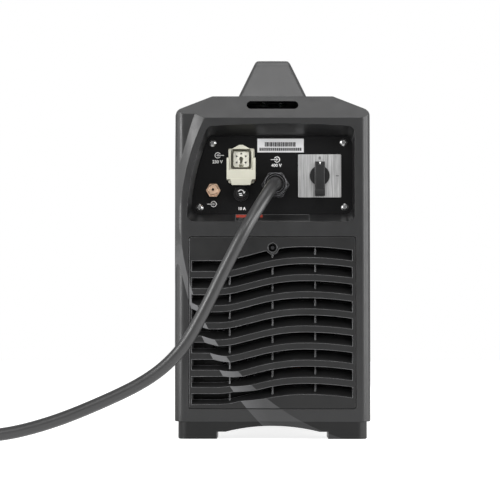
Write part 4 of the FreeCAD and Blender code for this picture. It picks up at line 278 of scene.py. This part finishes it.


# The swoosh's painted highlight: a paler base colour where faces lean within these bounds.
def painted_band_highlight(tree):
    """Painted highlight: 1 on the swoosh's lower reach, faces leaning down and sideways, less at
    its end.
    """
    normal = add(tree, "SeparateXYZ", {0: add(tree, "NewGeometry").outputs["True Normal"]})
    leans = spread(tree, normal.outputs["Z"], LEAN_START, LEAN_FULL, 0.0, 1.0)
    not_steep = spread(tree, normal.outputs["Z"], STEEP_START, STEEP_FULL, 1.0, 0.0)
    sideways = add(tree, "Math", {0: normal.outputs["X"]}, operation="ABSOLUTE").outputs["Value"]
    share = spread(tree, sideways, SIDE_START, SIDE_FULL, LEAST_BAND_HIGHLIGHT, 1.0)
    return times(tree, times(tree, leans, not_steep), share)


BORDER = 0.002


def off_the_borders(tree, place, low, high):
    """0 at a grille's upper, lower and right borders, where edges lie in shade, else 1."""
    spot = add(tree, "SeparateXYZ", {0: place})
    share = 1.0
    borders = (("X", high.x, -BORDER), ("Z", low.z, BORDER), ("Z", high.z, -BORDER))
    for axis, border, step in borders:
        clear = spread(tree, spot.outputs[axis], border + step / 2, border + step, 0.0, 1.0)
        share = times(tree, share, clear)
    return share


def moulded(
    name, colour, roughness, grain=0.0005, depth=0.00003, edge=0.0005, edge_wear_and_highlight=1.9,
    specular=0.5, coat=0.0, band_highlight=1.0, bounds=None,
):
    """A moulded plastic: eroded grain, faint changes of tone, and eased edges with painted wear
    and highlight.

    Two factors say how many times paler the edges are (wear and a painted highlight) and the
    swoosh's lower reach (a painted highlight).
    """
    finish, tree, shader, place = start_finish(name, roughness, specular=specular, coat=coat)
    broad = noise(tree, place, 22, 3)
    body = tones(tree, broad, (0.3, shade(colour, 0.88)), (0.7, shade(colour, 1.12)))
    if band_highlight > 1:
        # A painted highlight: the swoosh's lower reach is made paler.
        body = mix(tree, painted_band_highlight(tree), body, shade(colour, band_highlight))
    normal, mask = rounded_edges(tree, edge)
    # The paler edges, in patches, are wear and a painted highlight.
    patches = spread(tree, noise(tree, place, 90, 4, 0.7), 0.35, 0.65, 0.5, 1.0)
    if bounds:
        patches = times(tree, patches, off_the_borders(tree, place, *bounds))
    gloss = noise(tree, place, 60, 4, 0.6)
    feed(tree, shader, {
        "Base Color": mix(tree, times(tree, mask, patches), body, shade(colour, edge_wear_and_highlight)),
        "Roughness": gloss_of(tree, gloss, roughness, 0.05, 0.05),
        "Normal": bumped(tree, noise(tree, place, 1 / grain, 2, 0.6), 1.0, depth, normal),
    })
    return finish


PAINT_EDGE = 0.0004
PEEL = 0.0011  # across one dimple of the coat
PEEL_DEPTH = 0.00004


def painted(name, colour, roughness, specular):
    """A powder coat on steel sheet: orange peel, dust, and a thinner coat on the edges."""
    coat = specular / 4
    finish, tree, shader, place = start_finish(name, roughness, specular=specular, coat=coat)
    normal, mask = rounded_edges(tree, PAINT_EDGE)
    dust = noise(tree, place, 1400, 2)
    speckle = tones(tree, dust, (0.35, shade(colour, 0.85)), (0.7, shade(colour, 1.2)))
    gloss = noise(tree, place, 14, 5, 0.7)
    feed(tree, shader, {
        "Base Color": mix(tree, mask, speckle, shade(colour, 1.8)),
        "Roughness": gloss_of(tree, gloss, roughness, 0.02, 0.03),
        "Normal": bumped(tree, noise(tree, place, 1 / PEEL, 3), 0.7, PEEL_DEPTH, normal),
    })
    return finish


METAL_EDGE = 0.0003
MARK_DEPTH = 0.00001


def metal(name, colour, roughness, scale, lines=(1, 1, 1), variation=0.12):
    """A bare metal whose fine marks run along the axis with the smallest number in lines."""
    finish, tree, shader, place = start_finish(name, roughness, metallic=1.0)
    normal, mask = rounded_edges(tree, METAL_EDGE)
    marks = noise(tree, stretched(tree, place, lines), scale, 4, 0.65)
    broad = noise(tree, place, 30, 3)
    dark, pale = shade(colour, 1 - variation), shade(colour, 1 + variation)
    body = tones(tree, marks, (0.3, dark), (0.7, pale))
    aged = mix(tree, spread(tree, broad, 0.35, 0.7, 0.0, 0.5), body, shade(colour, 0.8))
    feed(tree, shader, {
        "Base Color": mix(tree, mask, aged, shade(colour, 1.25)),
        "Roughness": gloss_of(tree, marks, roughness, 0.08, 0.08),
        "Normal": bumped(tree, marks, 0.6, MARK_DEPTH, normal),
    })
    return finish


WAVES = 3.18 / 20  # a wave texture's scale that gives one ridge to the metre
WIRE_PITCH = 0.0018


def winding(name, colour):
    """Enamelled wire laid side by side: ridges a wire apart, one above the other."""
    finish, tree, shader, place = start_finish(name, 0.3, metallic=0.6, coat=0.6)
    values = {"Vector": place, "Scale": WAVES / WIRE_PITCH, "Distortion": 0.15}
    height = add(tree, "TexWave", values, bands_direction="Z").outputs["Fac"]
    bump = {"Height": height, "Strength": 1.0, "Distance": WIRE_PITCH / 3}
    feed(tree, shader, {
        # The grooves between turns are painted darker: painted shade.
        "Base Color": tones(tree, height, (0.0, shade(colour, 0.25)), (0.6, colour)),
        "Normal": add(tree, "Bump", bump).outputs["Normal"],
    })
    return finish


def circuit_board(name):
    """Green solder mask with tracks under it and pale pads."""
    finish, tree, shader, place = start_finish(name, 0.3, coat=0.5)
    tracks = add(tree, "TexBrick", {"Vector": place, "Scale": 60, "Mortar Size": 0.03}, offset=0.3)
    green = mix(tree, tracks.outputs["Fac"], (0.02, 0.13, 0.05), (0.04, 0.2, 0.07))
    cells = add(tree, "TexVoronoi", {"Vector": place, "Scale": 260}).outputs["Distance"]
    pads = spread(tree, cells, 0.12, 0.16, 1.0, 0.0)
    feed(tree, shader, {"Base Color": mix(tree, pads, green, (0.5, 0.5, 0.48))})
    return finish


def smoked_glass(name):
    finish, tree, shader, place = start_finish(name, 0.06, specular=0.25)
    smears = noise(tree, place, 50, 4)
    clean, smeared = (0.3, (0.004, 0.005, 0.006)), (0.8, (0.012, 0.013, 0.014))
    feed(tree, shader, {
        "Base Color": tones(tree, smears, clean, smeared),
        "Roughness": spread(tree, smears, 0.3, 0.8, 0.04, 0.14),
    })
    return finish


def clear_glass(name):
    finish, tree, shader, place = start_finish(name, 0.05)
    grey = noise(tree, place, 200)
    tint = tones(tree, grey, (0.3, (0.8, 0.85, 0.84)), (0.7, (0.9, 0.93, 0.92)))
    feed(tree, shader, {"Base Color": tint, "Transmission Weight": 0.9})
    return finish


CASE = (0.0145, 0.0146, 0.015)
FINE = 0.00001  # the depth of a polished mould's grain

# Edge factors far above 1, as on the grille, gland and knob, are painted highlights; swoosh
# factors paint a highlight.
MOULDED = {
    "case_plastic": dict(
        colour=CASE, roughness=0.34, depth=0.000012, specular=0.46, band_highlight=5.0),
    "skirt_plastic": dict(
        colour=shade(CASE, 0.4), roughness=0.42, depth=0.000012, specular=0.28, band_highlight=14.0),
    # The louvre edges' paler colour is a painted highlight, left off at the shaded borders.
    "grille_plastic": dict(
        colour=shade(CASE, 0.5), roughness=0.36, depth=0.000012, band_highlight=19.0, edge=0.0009,
        edge_wear_and_highlight=42.0, specular=0.38, bounds=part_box("rear_grille")),
    "handle_plastic": dict(
        colour=shade(CASE, 1.5), roughness=0.42, depth=0.000015, specular=0.8),
    "soft_grip": dict(
        colour=(0.012, 0.012, 0.012), roughness=0.75, grain=0.0012, depth=0.0001, specular=0.2),
    "ivory_plastic": dict(
        colour=(0.52, 0.51, 0.425), roughness=0.35, depth=FINE, edge_wear_and_highlight=1.15, coat=0.1),
    "ivory_insert": dict(colour=(0.6, 0.59, 0.52), roughness=0.38, depth=FINE, edge_wear_and_highlight=1.15),
    "black_plastic": dict(
        colour=(0.008, 0.008, 0.0085), roughness=0.3, depth=FINE, edge_wear_and_highlight=2.5, specular=0.3),
    # The gland's paler rims are painted glints.
    "gland_black": dict(
        colour=(0.004, 0.004, 0.0042), roughness=0.22, depth=0.000005, edge=0.0008, edge_wear_and_highlight=80,
        specular=0.22),
    # The knob's paler edges are a painted highlight.
    "knob_black": dict(
        colour=(0.011, 0.011, 0.0115), roughness=0.34, depth=FINE, edge=0.0008, edge_wear_and_highlight=6,
        specular=0.35),
    "button_grey": dict(colour=(0.16, 0.16, 0.165), roughness=0.6, depth=0.00002, edge_wear_and_highlight=1.2),
    # Black fan plastic, darker still as painted shade for the inside seen through the slots.
    "fan_plastic": dict(colour=(0.005, 0.005, 0.005), roughness=0.5, specular=0.15),
    "module_black": dict(colour=(0.015, 0.015, 0.015), roughness=0.5),
    "plug_black": dict(
        colour=(0.014, 0.014, 0.0145), roughness=0.5, depth=0.00004, specular=0.3),
    "plug_red": dict(colour=(0.42, 0.018, 0.012), roughness=0.4, edge_wear_and_highlight=1.2),
    "capacitor_sleeve": dict(colour=(0.015, 0.02, 0.06), roughness=0.25, depth=FINE, coat=0.4),
    "hose_blue": dict(colour=(0.012, 0.05, 0.2), roughness=0.35, depth=FINE),
    "cable_rubber": dict(
        colour=(0.009, 0.009, 0.0094), roughness=0.38, grain=0.0008, depth=FINE, specular=0.75),
    "ferrite": dict(colour=(0.02, 0.02, 0.021), roughness=0.55, grain=0.001),
}

METALS = {
    "zinc_sheet": dict(colour=(0.52, 0.53, 0.54), roughness=0.35, scale=120),
    "zinc_steel": dict(colour=(0.55, 0.55, 0.54), roughness=0.28, scale=300),
    "black_screw": dict(colour=(0.06, 0.06, 0.062), roughness=0.35, scale=300),
    "bright_screw": dict(colour=(0.27, 0.27, 0.27), roughness=0.2, scale=300),
    "brushed_steel": dict(
        colour=(0.52, 0.52, 0.52), roughness=0.36, lines=(1, 1, 0.02), scale=1500,
        variation=0.45),
    "silver_contact": dict(colour=(0.75, 0.74, 0.7), roughness=0.2, scale=400),
    "brass": dict(colour=(0.66, 0.46, 0.33), roughness=0.3, lines=(0.1, 1, 0.1), scale=900),
    "valve_brass": dict(colour=(0.6, 0.42, 0.2), roughness=0.32, scale=500),
    "bare_aluminium": dict(
        colour=(0.5, 0.5, 0.51), roughness=0.6, lines=(1, 0.02, 1), scale=900),
}

INKS = {
    "white_ink": dict(colour=(0.93, 0.93, 0.92), roughness=0.45),
    "dark_ink": dict(colour=(0.02, 0.02, 0.021), roughness=0.45),
    "grey_ink": dict(colour=(0.16, 0.16, 0.16), roughness=0.5),
    "pale_figures": dict(colour=(0.42, 0.5, 0.52), roughness=0.4),
    "red_ink": dict(colour=(0.42, 0.055, 0.035), roughness=0.45),
}

FINISHES = {
    "cover_paint": painted("cover_paint", shade(CASE, 0.7), 0.42, specular=0.3),
    "plate_black": painted("plate_black", (0.005, 0.005, 0.0053), 0.4, specular=0.1),
    "copper_winding": winding("copper_winding", (0.6, 0.22, 0.08)),
    "board_green": circuit_board("board_green"),
    "display_glass": smoked_glass("display_glass"),
    "fuse_glass": clear_glass("fuse_glass"),
    "label_silver": moulded("label_silver", (0.66, 0.66, 0.67), 0.35, depth=0.000005, edge_wear_and_highlight=1.0),
}
FINISHES.update({name: moulded(name, **look) for name, look in MOULDED.items()})
FINISHES.update({name: metal(name, **look) for name, look in METALS.items()})
for name, look in INKS.items():
    FINISHES[name] = moulded(name, depth=0.000003, edge_wear_and_highlight=1.0, **look)


def dress(piece, finish):
    """One finish all over a piece, in place of whatever it came with."""
    piece.data.materials.clear()
    piece.data.materials.append(finish)


def dress_nodes():
    for part in frame["record"]["subparts"]:
        dress(NODES[part["node"]], FINISHES[part["material_slot"]])
    dress(NODES["panel_screws"], FINISHES["bright_screw"])


def add_mesh(name, points, faces):
    mesh = bpy.data.meshes.new(name)
    mesh.from_pydata(points, [], faces)
    piece = bpy.data.objects.new(name, mesh)
    bpy.context.scene.collection.objects.link(piece)
    return piece


def rectangle(x0, x1, z0, z1):
    return [(x0, z0), (x1, z0), (x1, z1), (x0, z1)]


def arc_band(x, z, inner, outer, start, end, steps=24):
    """Part of a flat ring as short quads, its ends given in degrees."""
    quads = []
    for i in range(steps):
        a = math.radians(start + (end - start) * i / steps)
        b = math.radians(start + (end - start) * (i + 1) / steps)
        corners = ((inner, a), (outer, a), (outer, b), (inner, b))
        quads.append([(x + r * math.cos(t), z + r * math.sin(t)) for r, t in corners])
    return quads


# The sign for a supply, in millimetres and degrees.
RING_INNER, RING_OUTER, RING_OPENING = 2.6, 3.4, 24
ARROW_TIP, ARROW_NECK, ARROW_END = 1.6, 0.6, 7.0
BARB_BACK, BARB_HALF_WIDTH = 0.9, 1.5
LINE_HALF_WIDTH = 0.35


def arrow_in_ring(x, z, side):
    """The sign for a supply: an arrow from the left (-1) or the right (1) that ends in a ring."""
    left, right = sorted((x - side * ARROW_NECK, x + side * ARROW_END))
    shaft = rectangle(left, right, z - LINE_HALF_WIDTH, z + LINE_HALF_WIDTH)
    barbs = x + side * BARB_BACK
    head = [
        (x - side * ARROW_TIP, z), (barbs, z - BARB_HALF_WIDTH), (barbs, z + BARB_HALF_WIDTH),
    ]
    if side > 0:
        head.reverse()
    way_in = 0 if side > 0 else 180
    start, end = way_in + RING_OPENING, way_in + 360 - RING_OPENING
    return arc_band(x, z, RING_INNER, RING_OUTER, start, end) + [shaft, head]


def facing(y):
    """-1 for the rear end, which looks towards -Y, and 1 for the front end."""
    return -1 if y < 0 else 1


INK_LIFT = 0.00006  # from the face to the ink
INK_RELIEF = 0.00003  # of letters, to each side of their middle
INK_SWELL = 0.00004  # of a letter's outline, for each millimetre of its size


def print_on(name, outlines, y, finish, body="case", lift=INK_LIFT):
    """Flat printed shapes on an upright face at y, in millimetres, x as their reader counts it."""
    side = facing(y)
    points = []
    faces = []
    for outline in outlines:
        faces.append(tuple(range(len(points), len(points) + len(outline))))
        points += [(-side * x / 1000, y + side * lift, z / 1000) for x, z in outline]
    piece = add_mesh(name, points, faces)
    dress(piece, FINISHES[finish])
    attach(piece, body)


def letters(name, words, x, z, size, y, finish, turn=0.0):
    """Raised ink letters on an upright face at y, placed like print_on's; turn is in degrees."""
    side = facing(y)
    curve = bpy.data.curves.new(name, "FONT")
    curve.body = words
    curve.size = size / 1000
    curve.align_x = "CENTER"
    curve.align_y = "CENTER"
    curve.extrude = INK_RELIEF
    curve.offset = INK_SWELL * size
    curve.resolution_u = 3
    text = bpy.data.objects.new(name + "_text", curve)
    bpy.context.scene.collection.objects.link(text)
    bpy.context.view_layer.update()
    shaped = text.evaluated_get(bpy.context.evaluated_depsgraph_get())
    mesh = bpy.data.meshes.new_from_object(shaped)
    bpy.data.objects.remove(text)
    piece = bpy.data.objects.new(name, mesh)
    bpy.context.scene.collection.objects.link(piece)
    upright = Matrix.Rotation(math.pi / 2, 4, "X")
    if side > 0:
        upright = Matrix.Rotation(math.pi, 4, "Z") @ upright
    where = Matrix.Translation((-side * x / 1000, y + side * INK_LIFT, z / 1000))
    piece.matrix_world = where @ upright @ Matrix.Rotation(math.radians(turn), 4, "Z")
    dress(piece, FINISHES[finish])
    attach(piece, "case")


def middle_of(low, high):
    """The middle of a box as x and z, in millimetres of the frame."""
    return 500 * (low.x + high.x), 500 * (low.z + high.z)


# Prints on the connection panel and the switch: x and z in millimetres, then a direction, a
# size or a turn.
SUPPLY_SIGNS = [(-61.2, 314.6, 1), (5.0, 309.9, -1), (-65.7, 260.0, -1)]
RATINGS = [
    ("cooler_volts", "230 V", -61.4, 307.2, 4.8),
    ("mains_volts", "400 V", 4.4, 303.2, 4.8),
    ("fuse_amps", "10 A", -34.2, 254.9, 4.4),
]
LABEL = rectangle(-16.9, 34.9, 317.9, 333.3)
CODE_START, CODE_BARS, CODE_LOW, CODE_HIGH = -8.6, 24, 324.4, 329.4
ROW_START, ROW_BARS, ROW_STEP, ROW_BAR, ROW_LOW, ROW_HIGH = -14.6, 22, 2.15, 1.7, 319.7, 323.1
SWITCH_X = 52.6
SWITCH_FIGURES = [
    ("switch_off", "0", SWITCH_X, 311.3, 0),
    ("switch_on", "1", SWITCH_X + 19.6, 291.5, -90),
]
SWITCH_FIGURE_SIZE = 4.2
POINTER_MARGIN, POINTER_DEPTH, POINTER_HALF_WIDTH = 0.6, 3.0, 1.0

# The mark on the fuse cap, from the cap's middle.
TURN_INNER, TURN_OUTER, TURN_START, TURN_END = 3.1, 4.0, 20, 150
TURN_HEAD = [(4.9, 1.6), (2.0, 1.7), (3.3, -0.8)]
FUSE_BARS = [(-2.4, 0.9, -1.1, -0.1), (-1.7, 1.6, -2.9, -1.9)]


def label_bars():
    """Plain bars on the silver label: a row of uneven ones above a row of even ones."""
    bars = []
    edge = CODE_START
    for i in range(CODE_BARS):
        wide = 0.6 + 0.5 * ((i * 7) % 3)
        bars.append(rectangle(edge, edge + wide, CODE_LOW, CODE_HIGH))
        edge += wide + 0.25 + 0.2 * ((i * 5) % 2)
    for i in range(ROW_BARS):
        left = ROW_START + ROW_STEP * i
        bars.append(rectangle(left, left + ROW_BAR, ROW_LOW, ROW_HIGH))
    return bars


def rear_prints():
    """The connection panel's signs, ratings and silver label, and the marks on its pieces."""
    signs = [shape for place in SUPPLY_SIGNS for shape in arrow_in_ring(*place)]
    print_on("supply_signs", signs, PLATE, "white_ink")
    for name, words, x, z, size in RATINGS:
        letters(name, words, x, z, size, PLATE, "white_ink")
    print_on("silver_label", [LABEL], PLATE, "label_silver")
    print_on("label_bars", label_bars(), PLATE, "dark_ink", lift=2 * INK_LIFT)
    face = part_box("switch_faceplate")[0].y
    for name, words, x, z, turn in SWITCH_FIGURES:
        letters(name, words, x, z, SWITCH_FIGURE_SIZE, face, "dark_ink", turn)
    knob_low, knob_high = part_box("switch_knob")
    top = 1000 * knob_high.z - POINTER_MARGIN
    left, right = SWITCH_X - POINTER_HALF_WIDTH, SWITCH_X + POINTER_HALF_WIDTH
    pointer = [(left, top), (SWITCH_X, top - POINTER_DEPTH), (right, top)]
    print_on("switch_pointer", [pointer], knob_low.y, "white_ink", body="switch_knob")
    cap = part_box("fuse_cap")
    x, z = middle_of(*cap)
    mark = arc_band(x, z, TURN_INNER, TURN_OUTER, TURN_START, TURN_END, 12)
    mark.append([(x + across, z + up) for across, up in TURN_HEAD])
    mark += [rectangle(x + x0, x + x1, z + z0, z + z1) for x0, x1, z0, z1 in FUSE_BARS]
    print_on("fuse_cap_mark", mark, cap[0].y, "white_ink", body="fuse_cap")


# The strip on the recess's lower wall: left and right ends in millimetres, near and far ends
# as shares of the recess's depth.
STRIPS = {
    "strip_outline": ("grey_ink", [
        (-41, 41, 0.05, 0.09), (-41, 41, 0.91, 0.95),
        (-41, -40.5, 0.09, 0.91), (40.5, 41, 0.09, 0.91),
    ]),
    "strip_block": ("red_ink", [(-40.5, -11, 0.55, 0.91)]),
}
WALL_LOW = 0.2388  # the wall's height at the rear face
WALL_RISE = 0.010  # from there to the connection panel


def recess_strip():
    """A plain strip label: a thin outline and a red block at its left end."""
    for name, (finish, areas) in STRIPS.items():
        points = []
        for x0, x1, s0, s1 in areas:
            for x, share in ((x0, s0), (x1, s0), (x1, s1), (x0, s1)):
                y = REAR + share * (PLATE - REAR)
                points.append((x / 1000, y, WALL_LOW + WALL_RISE * share + INK_LIFT))
        faces = [(i, i + 1, i + 2, i + 3) for i in range(0, len(points), 4)]
        piece = add_mesh(name, points, faces)
        dress(piece, FINISHES[finish])
        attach(piece, "case")


# The control panel's prints, in millimetres and degrees.
DIAL_MARKS = 11
DIAL_START, DIAL_STEP = 225, 27
MARK_INNER, MARK_OUTER, LONG_MARK_OUTER, MARK_HALF_WIDTH = 17.6, 19.6, 20.6, 0.3
FIGURES_ASIDE, FIGURES_BELOW, FIGURES_SIZE = 17.5, 18.5, 4.6
BUTTON_LINE_HALF, BUTTON_LINE_BELOW = 4.0, 2.4
DISPLAY_SIZE = 22.0


def dial_scale(x, z):
    """The marks round the control dial, of which every fifth is longer."""
    centre = Vector((x, z))
    scale = []
    for i in range(DIAL_MARKS):
        angle = math.radians(DIAL_START - DIAL_STEP * i)
        along = Vector((math.cos(angle), math.sin(angle)))
        across = Vector((-along.y, along.x)) * MARK_HALF_WIDTH
        inner = centre + along * MARK_INNER
        outer = centre + along * (LONG_MARK_OUTER if i % 5 == 0 else MARK_OUTER)
        corners = (inner - across, outer - across, outer + across, inner + across)
        scale.append([tuple(corner) for corner in corners])
    return scale


def front_prints():
    """The dial's scale, a line under each button, and two display figures."""
    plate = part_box("control_plate")[1].y
    x, z = middle_of(*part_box("control_dial"))
    shapes = dial_scale(-x, z)
    for name in ("mode_button", "gas_test_button", "menu_button"):
        low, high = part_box(name)
        under = 1000 * low.z - BUTTON_LINE_BELOW
        left = -middle_of(low, high)[0] - BUTTON_LINE_HALF
        right = left + 2 * BUTTON_LINE_HALF
        shapes.append(rectangle(left, right, under - LINE_HALF_WIDTH, under + LINE_HALF_WIDTH))
    print_on("dial_scale", shapes, plate, "white_ink")
    for name, words, side in (("dial_low", "20", -1), ("dial_high", "120", 1)):
        figures_x = side * FIGURES_ASIDE - x
        letters(name, words, figures_x, z - FIGURES_BELOW, FIGURES_SIZE, plate, "white_ink")
    low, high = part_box("display_window")
    x, z = middle_of(low, high)
    letters("display_figures", "80", -x, z, DISPLAY_SIZE, high.y, "pale_figures")


FLOOR_REACH = 12.0
FLOOR_DROP = 0.0002  # below the feet
FLOOR_DARK, FLOOR_PALE = (0.53, 0.53, 0.53), (0.57, 0.57, 0.57)
FLOOR_LIFT = 0.82  # the floor's own white under the object, which leaves its shadow visible
WHITER_FROM, WHITE_AT = 0.6, 2.2  # how far from the object that white rises to full
DIMMER_FROM, DIM_AT = 0.4, 2.0  # and how far off the floor is dimmed in glossy pieces
SURROUND_SHINE = 0.55  # of the surround, in glossy pieces
WORLD_LIGHT = 0.25
LAMPS = [
    # name, place, what it points at, size, power
    ("overhead", (0.0, -0.5, 2.4), (0, -0.05, 0.3), (1.2, 1.6), 12),
    ("high_rear", (0.0, -2.3, 2.0), (0, -0.2, 0.3), (1.6, 0.7), 21),
    ("left_side", (-1.9, -1.65, 0.8), (0, -0.25, 0.2), (0.6, 1.5), 38),
    ("right_side", (1.9, -1.75, 0.5), (0, -0.25, 0.2), (0.6, 1.4), 25),
    ("left_wing", (-2.2, -0.45, 0.6), (0, -0.15, 0.2), (1.5, 1.5), 14),
    ("right_wing", (2.2, -0.45, 0.6), (0, -0.15, 0.2), (1.5, 1.5), 32),
    ("front_fill", (0.6, 2.4, 1.2), (0, 0.1, 0.2), (1.6, 1.6), 20),
]


def area_light(name, place, aim, size, power):
    light = bpy.data.objects.new(name, bpy.data.lights.new(name, "AREA"))
    bpy.context.scene.collection.objects.link(light)
    light.data.shape = "RECTANGLE"
    light.data.size, light.data.size_y = size
    light.data.energy = power
    light.location = place
    light.rotation_euler = (Vector(aim) - Vector(place)).to_track_quat("-Z", "Y").to_euler()


def seen_by_kind(tree, camera, mirrored, others):
    """A strength for rays that show the background, for those in gloss and glass, and the rest."""
    path = add(tree, "LightPath").outputs
    kinds = {0: path["Is Glossy Ray"], 1: path["Is Transmission Ray"]}
    mirror = add(tree, "Math", kinds, operation="MAXIMUM").outputs["Value"]
    strength = spread(tree, mirror, 0, 1, others, mirrored)
    return spread(tree, path["Is Camera Ray"], 0, 1, strength, camera)


def lay_floor():
    """A pale floor that is white away from the object, and dimmer there in glossy pieces."""
    r = FLOOR_REACH
    floor = add_mesh("floor", [(-r, -r, 0), (r, -r, 0), (r, r, 0), (-r, r, 0)], [(0, 1, 2, 3)])
    floor.location = (0, 0, -FLOOR_DROP)
    finish, tree, shader, place = start_finish("floor", 0.9)
    away = add(tree, "VectorMath", {0: place}, operation="LENGTH").outputs["Value"]
    glow = spread(tree, away, WHITER_FROM, WHITE_AT, FLOOR_LIFT, 1.0)
    mirrored = spread(tree, away, DIMMER_FROM, DIM_AT, 1.0, SURROUND_SHINE)
    patches = noise(tree, place, 6, 4)
    feed(tree, shader, {
        "Base Color": tones(tree, patches, (0.3, FLOOR_DARK), (0.7, FLOOR_PALE)),
        "Emission Color": (1, 1, 1, 1),
        "Emission Strength": seen_by_kind(tree, glow, mirrored, 0.0),
    })
    dress(floor, finish)


def light_studio():
    """The floor, a white surround, and soft lamps above, beside, behind and before the object."""
    lay_floor()
    world = bpy.data.worlds.new("surround")
    bpy.context.scene.world = world
    world.use_nodes = True
    tree = world.node_tree
    strength = seen_by_kind(tree, 1.0, SURROUND_SHINE, WORLD_LIGHT)
    feed(tree, tree.nodes["Background"], {"Color": (1, 1, 1, 1), "Strength": strength})
    for lamp in LAMPS:
        area_light(*lamp)


place_camera()
lay_cable()
dress_nodes()
rear_prints()
recess_strip()
front_prints()
output_lead()
light_studio()

bpy.context.scene.view_settings.view_transform = "Standard"
